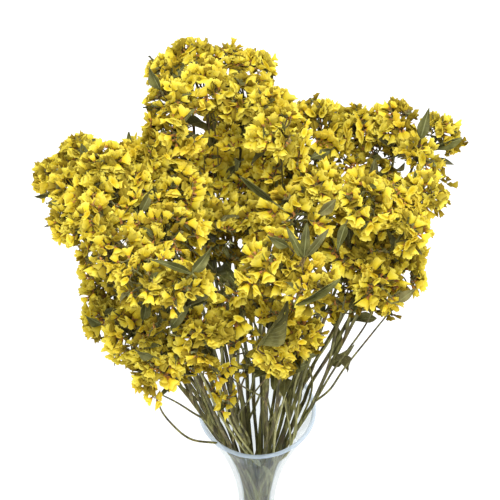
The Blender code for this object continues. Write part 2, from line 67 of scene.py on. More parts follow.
# %% [markdown]
# ## Where everything is
#
# The florets have to sit on the frame's heads, and the stems on its stems. A solid doesn't say
# which way its stem runs, so the lesson repeats the rule that placed them. Each head is read from
# a slanting view and pushed back until it lies under a dome round the middle of the vase's rim.

# %% Driving sizes of the vase and the dome, in metres
GAP = 0.0003
MM = 0.001
TINY = 0.0001
VASE_HEIGHT = 0.235
RIM_RADIUS = 0.057
RIM_ROUND = 0.0018
WALL = 0.0042
WAIST_HEIGHT = 0.067
WAIST_RADIUS = 0.018
MOUTH_FLARE = 1.85
FOOT_RADIUS = 0.043
FOOT_FLARE = 2.2
FOOT_EDGE = 0.003
FLOOR_HEIGHT = 0.014

DOME_RADIUS = 0.350
DOME_EDGE = 0.93
VIEW_SLANT = math.radians(50)
VIEW_DISTANCE = 1.5
AIM_ABOVE_RIM = 0.234
DEPTHS = (0.72, 0.79, 0.86, 0.92, 0.97, 1.01, 1.05)
DEPTH_PLAY = 0.03
WIDTH_GROWTH = 1.42
AXIS_LIFT = 0.3
CORE_SHARE = 0.32
STEM_SEED = 27

RIM_CENTRE = Vector((0, 0, VASE_HEIGHT))
UP = Vector((0, 0, 1))
print(f"vase {VASE_HEIGHT * 1000:.0f} mm tall, dome {DOME_RADIUS * 1000:.0f} mm in radius")

# %% The two heads of each spray: millimetres across and up in the slanting view, and a width
SPRAYS = (
    ((-76, 151, 23), (-58, 160, 29)),
    ((-28, 156, 28), (-4, 153, 25)),
    ((-46, 136, 34), (-12, 129, 31)),
    ((-73, 125, 28), (-69, 102, 34)),
    ((-27, 100, 42), (-43, 68, 38)),
    ((-99, 78, 26), (-102, 53, 34)),
    ((10, 121, 23), (17, 97, 32)),
    ((54, 102, 38), (85, 99, 35)),
    ((99, 75, 36), (121, 108, 28)),
    ((154, 98, 24), (135, 77, 28)),
    ((-151, 79, 26), (-173, 61, 22)),
    ((-130, 71, 27), (-132, 46, 36)),
    ((-157, 53, 28), (-159, 27, 27)),
    ((-140, 20, 31), (-127, -3, 33)),
    ((-71, 47, 37), (-79, 13, 42)),
    ((4, 76, 40), (28, 58, 32)),
    ((-45, 18, 41), (-8, 24, 34)),
    ((51, 49, 36), (30, 25, 38)),
    ((139, 46, 28), (125, 18, 28)),
    ((85, 39, 37), (112, 35, 32)),
    ((113, 0, 34), (119, -20, 27)),
    ((78, -5, 34), (100, -30, 30)),
    ((-126, -24, 35), (-130, -58, 24)),
    ((-93, -27, 36), (-66, -34, 32)),
    ((-106, -69, 28), (-86, -99, 26)),
    ((-47, -72, 31), (-17, -42, 38)),
    ((12, -14, 39), (44, -29, 33)),
    ((33, -70, 26), (14, -91, 19)),
)
print("heads:", 2 * len(SPRAYS))


# %% Place a head under the dome
TOWARD = Vector((0, -math.cos(VIEW_SLANT), math.sin(VIEW_SLANT)))
RISE = Vector((0, math.sin(VIEW_SLANT), math.cos(VIEW_SLANT)))
RIGHT = Vector((1, 0, 0))
AIM = RIM_CENTRE + UP * AIM_ABOVE_RIM


def look_at(across_view, up_view):
    """The eye of the slanting view, and the way that it looks to see a spot in millimetres."""
    eye = AIM + TOWARD * VIEW_DISTANCE
    spot = AIM + Vector((across_view * MM, 0, 0)) + RISE * up_view * MM
    return eye, (spot - eye).normalized()


def place_head(across_view, up_view, width, reach):
    """A head's middle under the dome, with its axis and radius, from where it shows in the view."""
    eye, way = look_at(across_view, up_view)
    start = eye - RIM_CENTRE
    nearest = -start.dot(way)
    missed = start.length_squared - nearest**2
    radius = max(DOME_RADIUS * reach, math.sqrt(missed) / DOME_EDGE)
    distance = nearest - math.sqrt(radius**2 - missed)
    middle = eye + way * distance
    return {
        "middle": middle,
        "axis": ((middle - RIM_CENTRE).normalized() + UP * AXIS_LIFT).normalized(),
        "radius": width * MM / 2 * WIDTH_GROWTH * distance / VIEW_DISTANCE,
    }


print("the view aims at", tuple(round(x, 3) for x in AIM))

# %% [markdown]
# Every stem starts on the vase's floor and passes the narrow waist in a slot of its own, packed
# like a honeycomb. A stem gets a slot on the side that it leans to, or the bunch would be a knot.

# %% Slots in the waist
SLOT_PITCH = 0.0038
LEAN_AT_RIM = 0.46
HALF_ROWS, HALF_COLUMNS = 4, 6
LEAST_GAIN = 1e-9


def waist_slots(count):
    """Places for the stems in the waist, packed like a honeycomb."""
    slots = []
    for row in range(-HALF_ROWS, HALF_ROWS + 1):
        for column in range(-HALF_COLUMNS, HALF_COLUMNS + 1):
            slots.append(Vector((column + row / 2, row * math.sqrt(3) / 2)) * SLOT_PITCH)
    slots.sort(key=lambda slot: (round(slot.length, 6), round(math.atan2(slot.y, slot.x), 4)))
    return slots[:count]


def lean_of(spray):
    """How far a spray leans out from the vase's axis, as a share of the most that one leans."""
    middle = (spray["heads"][0]["middle"] + spray["heads"][1]["middle"]) / 2
    return Vector((middle.x, middle.y)) / (DOME_RADIUS * LEAN_AT_RIM)


def give_slots(sprays):
    """A slot for each stem, on the side that it leans to, swapped until no swap straightens them."""
    slots = waist_slots(len(sprays))
    wanted = [lean_of(spray) for spray in sprays]
    improved = True
    while improved:
        improved = False
        for a in range(len(slots)):
            for b in range(a):
                if (slots[a] - slots[b]).dot(wanted[a] - wanted[b]) < -LEAST_GAIN:
                    slots[a], slots[b] = slots[b], slots[a]
                    improved = True
    return slots


print("slots in the waist:", len(waist_slots(SPRAY_COUNT)))

# %% The way of a stem and its branch
FOOT_SPREAD = 1.5
FOOT_TWIST = 0.35
RIM_SPREAD = 0.044
MOUTH_SHARES = (0.36, 0.7, 1.0)
MOUTH_SPREAD = 1.5
STEM_PULL = 0.4
HEAD_PULL = 0.3
STEM_BOW = 0.012
RISE_STEPS = 5
FORK_STEP = 2
BRANCH_STEPS = 3


def bezier(start, start_pull, end_pull, end, share):
    """The point at a share of a smooth curve between two ends."""
    back = 1 - share
    return (
        start * back**3
        + start_pull * 3 * back**2 * share
        + end_pull * 3 * back * share**2
        + end * share**3
    )


def curve_to(start, heading, head, steps):
    """Points from start along a smooth curve up to the seat of a head, a gap below its core."""
    seat = head["middle"] - head["axis"] * (head["radius"] * CORE_SHARE + GAP)
    reach = (seat - start).length
    first_pull = start + heading * reach * STEM_PULL
    last_pull = seat - head["axis"] * reach * HEAD_PULL
    return [bezier(start, first_pull, last_pull, seat, step / steps) for step in range(1, steps + 1)]


def plan_stem(spray, slot, rng):
    """The stem from the vase's floor to its first head, and the branch to the second."""
    first, second = spray["heads"]
    lean = lean_of(spray)
    at_rim = lean * RIM_SPREAD / max(lean.length, 1)
    foot = Matrix.Rotation(-FOOT_TWIST, 2) @ slot * FOOT_SPREAD
    stem = [
        foot.to_3d() + UP * (FLOOR_HEIGHT + GAP),
        foot.lerp(slot, 0.5).to_3d() + UP * (FLOOR_HEIGHT + WAIST_HEIGHT) / 2,
        slot.to_3d() + UP * WAIST_HEIGHT,
    ]
    for share in MOUTH_SHARES:
        place = slot.lerp(at_rim, share**MOUTH_SPREAD)
        stem.append(place.to_3d() + UP * (WAIST_HEIGHT + (VASE_HEIGHT - WAIST_HEIGHT) * share))
    heading = (stem[-1] - stem[-2]).normalized()
    bow = Vector((rng.uniform(-1, 1), rng.uniform(-1, 1), 0)) * STEM_BOW
    rise = curve_to(stem[-1], heading, first, RISE_STEPS)
    for step, point in enumerate(rise, 1):
        stem.append(point + bow * math.sin(math.pi * step / RISE_STEPS) ** 2)
    fork = len(stem) - 1 - RISE_STEPS + FORK_STEP
    heading = (stem[fork + 1] - stem[fork - 1]).normalized()
    spray["stem"] = stem
    spray["fork"] = fork
    spray["branch"] = [stem[fork], *curve_to(stem[fork], heading, second, BRANCH_STEPS)]


print("legs above the rim:", RISE_STEPS, "on a stem and", BRANCH_STEPS, "on its branch")

# %% The twig between two heads, and how thick a stem is
LINK_ARCH = 0.06
LINK_RADIUS = 0.0012
WAIST_STEM_RADIUS = 0.00145
STEM_RADIUS = 0.0018
TWIG_RADIUS = 0.0011


def link_way(spray):
    """The twig that holds the two heads of a spray together, from core to core, arched over."""
    first, second = spray["heads"]
    apart = (second["middle"] - first["middle"]).length
    crown = first["middle"].lerp(second["middle"], 0.5)
    crown += (first["axis"] + second["axis"]) * apart * LINK_ARCH
    return [first["middle"], crown, second["middle"]]


def stem_radius(point):
    """Stems are thickest at the vase's rim: they are pressed thin in the waist and thin out above."""
    if point[2] < VASE_HEIGHT:
        share = max(0, (point[2] - WAIST_HEIGHT) / (VASE_HEIGHT - WAIST_HEIGHT))
        return WAIST_STEM_RADIUS + (STEM_RADIUS - WAIST_STEM_RADIUS) * share
    share = min(1, (Vector(point) - RIM_CENTRE).length / DOME_RADIUS)
    return STEM_RADIUS + (TWIG_RADIUS - STEM_RADIUS) * share


print(f"a stem is {stem_radius(RIM_CENTRE) * 2000:.1f} mm thick at the rim")

# %% [markdown]
# Stems in a vase push each other aside. The frame does that in small rounds: where two legs of
# different stems come too close, each gives way by half. It is the same sum here, so that the
# dressed stems land exactly on the solid ones.

# %% Ease the stems apart
ROUNDS = 220
STEM_CLEARANCE = 0.0009
GLASS_CLEARANCE = 0.0009
CORE_BERTH = 0.62
PUSH = 0.55
EASE = 0.04
NO_LENGTH = 1e-14
NO_DISTANCE = 1e-6


def closest(p0, p1, q0, q1):
    """Shares along each pair of segments at their closest points, and the way between them."""
    u = p1 - p0
    v = q1 - q0
    w = p0 - q0
    a = (u * u).sum(-1)
    b = (u * v).sum(-1)
    c = (v * v).sum(-1)
    d = (u * w).sum(-1)
    e = (v * w).sum(-1)
    s = np.clip((b * e - c * d) / np.maximum(a * c - b * b, NO_LENGTH), 0, 1)
    t = np.clip((b * s + e) / np.maximum(c, NO_LENGTH), 0, 1)
    s = np.clip((b * t - d) / np.maximum(a, NO_LENGTH), 0, 1)
    return s, t, (p0 + u * s[..., None]) - (q0 + v * t[..., None])


def gather_ways(sprays):
    """All stems, branches and links as arrays: points, radii, which are free, and their legs."""
    points, radii, free, legs = [], [], [], []
    for number, spray in enumerate(sprays):
        ways = {"stem": spray["stem"], "branch": spray["branch"], "link": link_way(spray)}
        for bears, (name, way) in enumerate(ways.items()):
            first = len(points)
            spray[name + "_start"] = first
            points += [tuple(point) for point in way]
            radii += [LINK_RADIUS if name == "link" else stem_radius(point) for point in way]
            fixed = {0, len(way) - 1, 2 if name == "stem" else 0}
            free += [0.0 if name == "link" or place in fixed else 1.0 for place in range(len(way))]
            legs += [(first + k, first + k + 1, number, bears) for k in range(len(way) - 1)]
    return np.array(points), np.array(radii), np.array(free)[:, None], np.array(legs)


def push_stems(points, radii, one, two, pairs):
    """How each point should move so that legs of different sprays stop touching."""
    push = np.zeros_like(points)
    a, b = pairs
    s, t, way = closest(points[one[a]], points[two[a]], points[one[b]], points[two[b]])
    apart = np.linalg.norm(way, axis=1)
    short = radii[one[a]] + radii[one[b]] + STEM_CLEARANCE - apart
    near = short > 0
    a, b, s, t = a[near], b[near], s[near, None], t[near, None]
    move = way[near] / np.maximum(apart[near], NO_DISTANCE)[:, None] * short[near, None] * PUSH
    np.add.at(push, one[a], move * (1 - s))
    np.add.at(push, two[a], move * s)
    np.add.at(push, one[b], -move * (1 - t))
    np.add.at(push, two[b], -move * t)
    return push


def push_from_core(points, radii, one, two, core, berth, foreign):
    """How each point should move so that foreign legs stop touching one head's core."""
    push = np.zeros_like(points)
    along = points[two] - points[one]
    share = ((core - points[one]) * along).sum(1) / (along * along).sum(1)
    share = np.clip(share, 0, 1)[:, None]
    off = points[one] + along * share - core
    apart = np.linalg.norm(off, axis=1)
    short = berth + radii[one] - apart
    close = foreign & (short > 0)
    move = off[close] / apart[close, None] * short[close, None] * PUSH
    np.add.at(push, one[close], move * (1 - share[close]))
    np.add.at(push, two[close], move * share[close])
    return push


print("rounds of easing:", ROUNDS)

# %% Keep them inside the glass, and run the rounds
def outer_radius(height):
    """The vase's outer radius: the mouth widens upwards from the waist, the foot downwards."""
    if height >= WAIST_HEIGHT:
        share = min(1, (height - WAIST_HEIGHT) / (VASE_HEIGHT - WAIST_HEIGHT))
        return WAIST_RADIUS + (RIM_RADIUS - WAIST_RADIUS) * share**MOUTH_FLARE
    share = 1 - height / WAIST_HEIGHT
    return WAIST_RADIUS + (FOOT_RADIUS - WAIST_RADIUS) * share**FOOT_FLARE


def inner_radius(height):
    return outer_radius(height) - WALL


def keep_in_vase(points, radii):
    """Draws each point that stands inside the vase in from the glass."""
    for index in np.flatnonzero(points[:, 2] < VASE_HEIGHT + GLASS_CLEARANCE):
        height = min(points[index, 2], VASE_HEIGHT)
        room = inner_radius(height) - radii[index] - GLASS_CLEARANCE
        out = math.hypot(points[index, 0], points[index, 1])
        if out > room:
            points[index, :2] *= room / out


def spread_stems(sprays):
    """Eases the stems apart where they would touch each other, a foreign core or the glass."""
    points, radii, free, legs = gather_ways(sprays)
    one, two, number, bears = legs.T
    a, b = np.triu_indices(len(legs), 1)
    strangers = number[a] != number[b]
    pairs = a[strangers], b[strangers]
    for _ in range(ROUNDS):
        push = push_stems(points, radii, one, two, pairs)
        for spray_number, spray in enumerate(sprays):
            for place, head in enumerate(spray["heads"]):
                foreign = (number != spray_number) | (bears == 1 - place)
                core = np.array(tuple(head["middle"]))
                push += push_from_core(
                    points, radii, one, two, core, head["radius"] * CORE_BERTH, foreign
                )
        low = points[:, 2] < VASE_HEIGHT + TINY
        push[low, 2] = 0
        points += push * free
        for spray in sprays:
            first = spray["stem_start"]
            own = slice(first, first + len(spray["stem"]))
            ease = (points[own][:-2] + points[own][2:] - 2 * points[own][1:-1]) * EASE
            ease *= free[own][1:-1]
            ease[low[own][1:-1], 2] = 0
            points[first + 1 : first + len(spray["stem"]) - 1] += ease
            points[spray["branch_start"]] = points[first + spray["fork"]]
        keep_in_vase(points, radii)
    for spray in sprays:
        for name in ("stem", "branch"):
            first = spray[name + "_start"]
            spray[name] = [Vector(point) for point in points[first : first + len(spray[name])]]


print(f"room inside the rim: {inner_radius(VASE_HEIGHT) * 2000:.0f} mm across")

# %% Plan the bunch
def plan_bunch():
    """All sprays with their heads under the dome and their stems eased apart."""
    rng = random.Random(STEM_SEED)
    sprays = []
    for pair in SPRAYS:
        depth = rng.choice(DEPTHS)
        play = [1 + rng.uniform(-DEPTH_PLAY, DEPTH_PLAY) for _ in pair]
        sprays.append({"heads": [place_head(*spot, depth * more) for spot, more in zip(pair, play)]})
    for spray, slot in zip(sprays, give_slots(sprays)):
        plan_stem(spray, slot, rng)
    spread_stems(sprays)
    return sprays


sprays = plan_bunch()
heads = [head for spray in sprays for head in spray["heads"]]
highest = max(head["middle"].z for head in heads)
print(f"{len(sprays)} stems planned; the highest head is {highest * 1000:.0f} mm up")

# %% [markdown]
# ## Where the frame's leaves are
#
# The frame tries leaves at random along each stem and keeps those that touch nothing. The same
# draws with the same tests give the same leaves here, which then get their fine shape below.

# %% Repeat the frame's choice of leaves
LEAF_LENGTH = 0.029
LEAF_WIDTH = 0.0105
LEAF_THICKNESS = 0.0008
LEAF_ARCH = 0.16
LEAF_STATIONS = ((0.0, 0.10), (0.34, 0.94), (0.68, 0.80), (1.0, 0.0))
LEAF_LEGS = len(LEAF_STATIONS) - 1
TIP_MERGE = 0.00005
LEAF_SIZES = (0.85, 1.12)
LEAF_ANGLES = (30, 65)
LEAF_BERTH = 0.0006
HEAD_BERTH = 0.78
ON_BRANCH = 0.45
LEAVES_A_STEM = 2
LEAF_TRIES = 60
LEAF_SEED = 28
STEM_GIRTH = 1.15
STEM_SIDES = 6
LEAF_MIDDLE = 0.55


def pose_of(place, along, face):
    """A matrix with x along a leaf, z out of its face, and its root at place."""
    sideways = face.cross(along).normalized()
    upwards = along.cross(sideways).normalized()
    turn = Matrix((along, sideways, upwards)).transposed().to_4x4()
    return Matrix.Translation(place) @ turn


def leaf_blank(place, along, face, length, width, thickness):
    """The frame's plain leaf, an arched strip with pointed ends, for the tests."""
    bm = bmesh.new()
    bmesh.ops.create_grid(bm, x_segments=LEAF_LEGS, y_segments=1, size=1)
    for vert in bm.verts:
        share, breadth = LEAF_STATIONS[round((vert.co.x + 1) / 2 * LEAF_LEGS)]
        side = math.copysign(breadth * width / 2, vert.co.y)
        vert.co = (share * length, side, -LEAF_ARCH * share**2 * length)
    bmesh.ops.remove_doubles(bm, verts=bm.verts[:], dist=TIP_MERGE)
    raised = bmesh.ops.extrude_face_region(bm, geom=bm.faces[:])["geom"]
    top = [piece for piece in raised if isinstance(piece, bmesh.types.BMVert)]
    bmesh.ops.translate(bm, verts=top, vec=(0, 0, thickness))
    bmesh.ops.translate(bm, verts=bm.verts[:], vec=(0, 0, -thickness / 2))
    bmesh.ops.recalc_face_normals(bm, faces=bm.faces[:])
    bmesh.ops.triangulate(bm, faces=bm.faces[:])
    bmesh.ops.transform(bm, matrix=pose_of(place, along, face), verts=bm.verts[:])
    return bm


def tree_of(bm):
    tree = BVHTree.FromBMesh(bm)
    bm.free()
    return tree


def stem_tree(spray, berth):
    """A search tree of a stem and its branch, fatter than they are by a berth all round."""
    bm = bmesh.new()
    for way in (spray["stem"], spray["branch"]):
        for start, end in zip(way, way[1:]):
            run = end - start
            turn = run.to_track_quat("Z", "Y").to_matrix().to_4x4()
            radius = stem_radius(start) * STEM_GIRTH + berth
            bmesh.ops.create_cone(
                bm,
                segments=STEM_SIDES,
                radius1=radius,
                radius2=radius,
                depth=run.length,
                cap_ends=True,
                matrix=Matrix.Translation((start + end) / 2) @ turn,
            )
    return tree_of(bm)


def try_leaf(spray, rng):
    """A leaf at some place on the branch or on the upper stem, turned to face outwards."""
    way = spray["branch"] if rng.random() < ON_BRANCH else spray["stem"][spray["fork"] - 1 :]
    leg = rng.randrange(0 if way is not spray["branch"] else 1, len(way) - 1)
    place = way[leg].lerp(way[leg + 1], rng.random())
    tangent = (way[leg + 1] - way[leg]).normalized()
    side = Vector([rng.gauss(0, 1) for _ in range(3)])
    side = (side - tangent * side.dot(tangent)).normalized()
    angle = math.radians(rng.uniform(*LEAF_ANGLES))
    along = (tangent * math.cos(angle) + side * math.sin(angle)).normalized()
    outward = (place - RIM_CENTRE).normalized()
    face = (outward - along * outward.dot(along)).normalized()
    size = rng.uniform(*LEAF_SIZES)
    return place, along, face, LEAF_LENGTH * size, LEAF_WIDTH * size


def near_head(leaf, heads):
    """Whether a leaf's tip or its middle comes close to some head."""
    place, along, _, length, _ = leaf
    spots = (place + along * length, place + along * length * LEAF_MIDDLE)
    return any(
        (spot - head["middle"]).length < head["radius"] * HEAD_BERTH
        for spot in spots
        for head in heads
    )


def add_leaves(sprays):
    """Chooses a few leaves for each stem, clear of the other stems."""
    rng = random.Random(LEAF_SEED)
    stems = [stem_tree(spray, LEAF_BERTH) for spray in sprays]
    heads = [head for spray in sprays for head in spray["heads"]]
    placed = []
    for number, spray in enumerate(sprays):
        spray["leaves"] = []
        others = stems[:number] + stems[number + 1 :]
        for _ in range(LEAF_TRIES):
            if len(spray["leaves"]) == LEAVES_A_STEM:
                break
            leaf = try_leaf(spray, rng)
            if near_head(leaf, heads):
                continue
            tree = tree_of(leaf_blank(*leaf, LEAF_THICKNESS + 2 * LEAF_BERTH))
            if not any(tree.overlap(other) for other in others + placed):
                placed.append(tree)
                spray["leaves"].append(leaf)


add_leaves(sprays)
print("leaves of the frame:", sum(len(spray["leaves"]) for spray in sprays))

# %% [markdown]
# ## Materials
#
# Every finish is worked out from a piece's own coordinates or from numbers stored on its points,
# so it stays put from any side. A small helper wires nodes by name, which keeps each recipe
# short enough to read.

# %% A helper for node recipes
def start_material(name):
    """A new material with its node tree, its Principled shader and a function that adds a node."""
    material = bpy.data.materials.new(name)
    material.use_nodes = True
    tree = material.node_tree
    shader = tree.nodes["Principled BSDF"]

    def add(kind, inputs=None, **settings):
        node = tree.nodes.new(kind)
        for key, value in settings.items():
            setattr(node, key, value)
        for key, value in (inputs or {}).items():
            if isinstance(value, bpy.types.NodeSocket):
                tree.links.new(value, node.inputs[key])
            else:
                node.inputs[key].default_value = value
        return node

    return material, tree, shader, add


def add_ramp(add, factor, stops):
    """A colour ramp through (place, colour) stops."""
    ramp = add("ShaderNodeValToRGB", {"Fac": factor})
    elements = ramp.color_ramp.elements
    while len(elements) < len(stops):
        elements.new(1)
    for element, (place, colour) in zip(elements, stops):
        element.position = place
        element.color = (*colour, 1)
    return ramp.outputs["Color"]


def mix_colours(add, factor, first, second, blend="MIX"):
    """Two colours mixed by a factor, each a socket or three numbers."""
    node = add("ShaderNodeMix", data_type="RGBA", blend_type=blend)
    tree = node.id_data
    for socket, value in zip((node.inputs[0], node.inputs[6], node.inputs[7]), (factor, first, second)):
        if isinstance(value, bpy.types.NodeSocket):
            tree.links.new(value, socket)
        else:
            socket.default_value = (*value, 1) if isinstance(value, tuple) else value
    return node.outputs[2]


print("helpers are ready: start_material, add_ramp and mix_colours")

# %% [markdown]
# A floret is palest at its torn edge, golden down in the cup and brown where it leaves its bract.
# The number "along" on its points runs from 0 at the root to 1 at the edge, and "tone" is one
# draw for each floret, because some are fresher than others. The dark low tones are partly age
# and partly painted shade: the coarse florets deep in the bunch get them, and in the hollows
# those at the back get the darkest, while a few places get bright tones as painted light. Thin
# paper lets light through, so part of the light is taken by a translucent shader.

# %% Papery yellow
GLOW_SHARE = 0.42
GOLDEN = (0.90, 0.66, 0.030)


def make_papery_yellow():
    material, tree, shader, add = start_material("papery_yellow_petal")
    along = add("ShaderNodeAttribute", attribute_name="along").outputs["Fac"]
    tone = add("ShaderNodeAttribute", attribute_name="tone").outputs["Fac"]
    place = add("ShaderNodeTexCoord").outputs["Object"]
    crumple = add("ShaderNodeTexNoise", {"Vector": place, "Scale": 420.0, "Detail": 3.0})
    patch = add("ShaderNodeTexNoise", {"Vector": place, "Scale": 45.0, "Detail": 2.0}).outputs["Fac"]
    fresh = add_ramp(
        add,
        along,
        (
            (0.0, (0.26, 0.10, 0.012)),
            (0.14, (0.60, 0.35, 0.016)),
            (0.32, (0.88, 0.715, 0.030)),
            (0.7, (0.875, 0.765, 0.075)),
            (1.0, (0.875, 0.795, 0.150)),
        ),
    )
    # Painted shade: this ramp of aged florets is dark, partly for age and partly for the shade deep in
    # the bunch
    aged_and_painted_shade = add_ramp(
        add,
        along,
        (
            (0.0, (0.05, 0.025, 0.008)),
            (0.4, (0.16, 0.095, 0.010)),
            (1.0, (0.35, 0.25, 0.016)),
        ),
    )
    patches = add_ramp(add, patch, ((0.45, (0, 0, 0)), (0.7, (0.4, 0.4, 0.4))))
    fresh = mix_colours(add, patches, fresh, GOLDEN)
    colour = mix_colours(add, tone, aged_and_painted_shade, fresh)
    speckle = add_ramp(add, crumple.outputs["Fac"], ((0.3, (0.78, 0.74, 0.66)), (0.6, (1, 1, 1))))
    colour = mix_colours(add, 0.15, colour, speckle, "MULTIPLY")
    tree.links.new(colour, shader.inputs["Base Color"])
    shader.inputs["Roughness"].default_value = 0.7
    shader.inputs["Specular IOR Level"].default_value = 0.08
    folds = crumple.outputs["Fac"]
    bump = add("ShaderNodeBump", {"Height": folds, "Strength": 0.2, "Distance": 0.0006})
    tree.links.new(bump.outputs["Normal"], shader.inputs["Normal"])
    glow = add("ShaderNodeBsdfTranslucent", {"Color": colour})
    paper = shader.outputs["BSDF"]
    both = add("ShaderNodeMixShader", {0: GLOW_SHARE, 1: paper, 2: glow.outputs["BSDF"]})
    tree.links.new(both.outputs["Shader"], tree.nodes["Material Output"].inputs["Surface"])
    return material


papery_yellow = make_papery_yellow()
print("made", papery_yellow.name)


# %% Bracts: the brown and olive scales that the florets stand in
def make_bract_brown():
    material, tree, shader, add = start_material("bract_brown")
    tone = add("ShaderNodeAttribute", attribute_name="tone").outputs["Fac"]
    place = add("ShaderNodeTexCoord").outputs["Object"]
    grain = add("ShaderNodeTexNoise", {"Vector": place, "Scale": 700.0, "Detail": 2.0})
    colour = add_ramp(
        add,
        tone,
        (
            (0.0, (0.16, 0.17, 0.05)),
            (0.45, (0.24, 0.19, 0.05)),
            (0.7, (0.36, 0.15, 0.03)),
            (1.0, (0.45, 0.20, 0.03)),
        ),
    )
    shade = add_ramp(add, grain.outputs["Fac"], ((0.3, (0.55, 0.5, 0.45)), (0.65, (1, 1, 1))))
    tree.links.new(mix_colours(add, 1.0, colour, shade, "MULTIPLY"), shader.inputs["Base Color"])
    shader.inputs["Roughness"].default_value = 0.7
    bump = add("ShaderNodeBump", {"Height": grain.outputs["Fac"], "Strength": 0.4, "Distance": 0.0004})
    tree.links.new(bump.outputs["Normal"], shader.inputs["Normal"])
    return material


bract_brown = make_bract_brown()
print("made", bract_brown.name)


# %% [markdown]
# Dried stems are olive, with paler ribs and brown patches drawn out along their length. Noise
# that is stretched tall gives those streaks, since all the stems run more or less upwards.

# %% Stems
def make_stem_olive():
    material, tree, shader, add = start_material("stem_olive")
    place = add("ShaderNodeTexCoord").outputs["Object"]
    tall = add("ShaderNodeMapping", {"Vector": place, "Scale": (620, 620, 26)}).outputs["Vector"]
    streak = add("ShaderNodeTexNoise", {"Vector": tall, "Scale": 1.0, "Detail": 1.5}).outputs["Fac"]
    patch = add("ShaderNodeTexNoise", {"Vector": place, "Scale": 28.0, "Detail": 2.0}).outputs["Fac"]
    # Painted shade: a slow noise stretched along the stems darkens long stretches of some of them, for
    # the shade among stems
    slow = add("ShaderNodeMapping", {"Vector": place, "Scale": (210, 210, 8)}).outputs["Vector"]
    shade = add("ShaderNodeTexNoise", {"Vector": slow, "Scale": 1.0, "Detail": 0.5}).outputs["Fac"]
    shade = add_ramp(
        add,
        shade,
        ((0.36, (0.36, 0.34, 0.30)), (0.52, (0.85, 0.85, 0.8)), (0.66, (1.0, 1.0, 1.0))),
    )
    green = add_ramp(
        add,
        streak,
        ((0.3, (0.068, 0.064, 0.014)), (0.5, (0.142, 0.135, 0.033)), (0.7, (0.265, 0.25, 0.078))),
    )
    brown = add_ramp(
        add,
        streak,
        ((0.3, (0.045, 0.024, 0.009)), (0.6, (0.13, 0.078, 0.026)), (0.75, (0.24, 0.165, 0.064))),
    )
    share = add_ramp(add, patch, ((0.48, (0, 0, 0)), (0.68, (0.85, 0.85, 0.85))))
    colour = mix_colours(add, 1.0, mix_colours(add, share, green, brown), shade, "MULTIPLY")
    # Painted light: shoots marked on their points get a pale sage, so that they look lit inside the
    # glass
    painted_lit = add("ShaderNodeAttribute", attribute_name="painted_lit").outputs["Fac"]
    painted_lit_sage = add_ramp(add, streak, ((0.3, (0.18, 0.175, 0.065)), (0.7, (0.36, 0.345, 0.140))))
    colour = mix_colours(add, painted_lit, colour, painted_lit_sage)
    tree.links.new(colour, shader.inputs["Base Color"])
    shader.inputs["Roughness"].default_value = 0.68
    shader.inputs["Specular IOR Level"].default_value = 0.25
    bump = add("ShaderNodeBump", {"Height": streak, "Strength": 0.35, "Distance": 0.0005})
    tree.links.new(bump.outputs["Normal"], shader.inputs["Normal"])
    return material


stem_olive = make_stem_olive()
print("made", stem_olive.name)


# %% [markdown]
# A leaf has its own map: u runs from root to tip and v from edge to edge. The midrib is the line
# where v is one half, and the side veins are a wave that slants away from it.

# %% Leaves
def make_leaf_green():
    material, tree, shader, add = start_material("leaf_grey_green")
    grid = add("ShaderNodeUVMap", uv_map="leaf_map").outputs["UV"]
    place = add("ShaderNodeTexCoord").outputs["Object"]
    parts = add("ShaderNodeSeparateXYZ", {"Vector": grid})
    off = add("ShaderNodeMath", {0: parts.outputs["Y"], 1: 0.5}, operation="SUBTRACT").outputs[0]
    off = add("ShaderNodeMath", {0: off}, operation="ABSOLUTE").outputs[0]
    slant = add("ShaderNodeMath", {0: off, 1: 0.9}, operation="MULTIPLY").outputs[0]
    slant = add("ShaderNodeMath", {0: parts.outputs["X"], 1: slant}, operation="SUBTRACT").outputs[0]
    wave = add("ShaderNodeMath", {0: slant, 1: 58.0}, operation="MULTIPLY").outputs[0]
    wave = add("ShaderNodeMath", {0: wave}, operation="SINE").outputs[0]
    veins = add_ramp(add, wave, ((0.8, (0, 0, 0)), (1.0, (0.5, 0.5, 0.5))))
    rib = add_ramp(add, off, ((0.02, (1, 1, 1)), (0.07, (0, 0, 0))))
    lines = mix_colours(add, 1.0, veins, rib, "LIGHTEN")
    mottle = add("ShaderNodeTexNoise", {"Vector": place, "Scale": 130.0, "Detail": 4.0}).outputs["Fac"]
    tone = add("ShaderNodeAttribute", attribute_name="tone").outputs["Fac"]
    flesh = add_ramp(
        add,
        mottle,
        ((0.32, (0.045, 0.045, 0.009)), (0.55, (0.090, 0.090, 0.020)), (0.75, (0.155, 0.150, 0.042))),
    )
    dry = add_ramp(add, mottle, ((0.3, (0.09, 0.075, 0.024)), (0.7, (0.20, 0.17, 0.065))))
    flesh = mix_colours(add, tone, flesh, dry)
    colour = mix_colours(add, lines, flesh, (0.19, 0.195, 0.075))
    tree.links.new(colour, shader.inputs["Base Color"])
    shader.inputs["Roughness"].default_value = 0.6
    shader.inputs["Specular IOR Level"].default_value = 0.2
    bump = add("ShaderNodeBump", {"Height": lines, "Strength": 0.5, "Distance": 0.0005})
    tree.links.new(bump.outputs["Normal"], shader.inputs["Normal"])
    return material


leaf_green = make_leaf_green()
print("made", leaf_green.name)


# %% [markdown]
# Real glass bends light so often at its edges that a plain render shows them nearly black. Most
# of the light goes straight through here, which keeps the thin wall as clear as it looks, and
# the stems inside in sight. The rest is bent and reflected as glass does it. The polished rim
# lets less through and catches the blue-grey of the glass.

# %% Clear glass
CLEAR_SHARE = 0.84
RIM_CLEAR_SHARE = 0.25


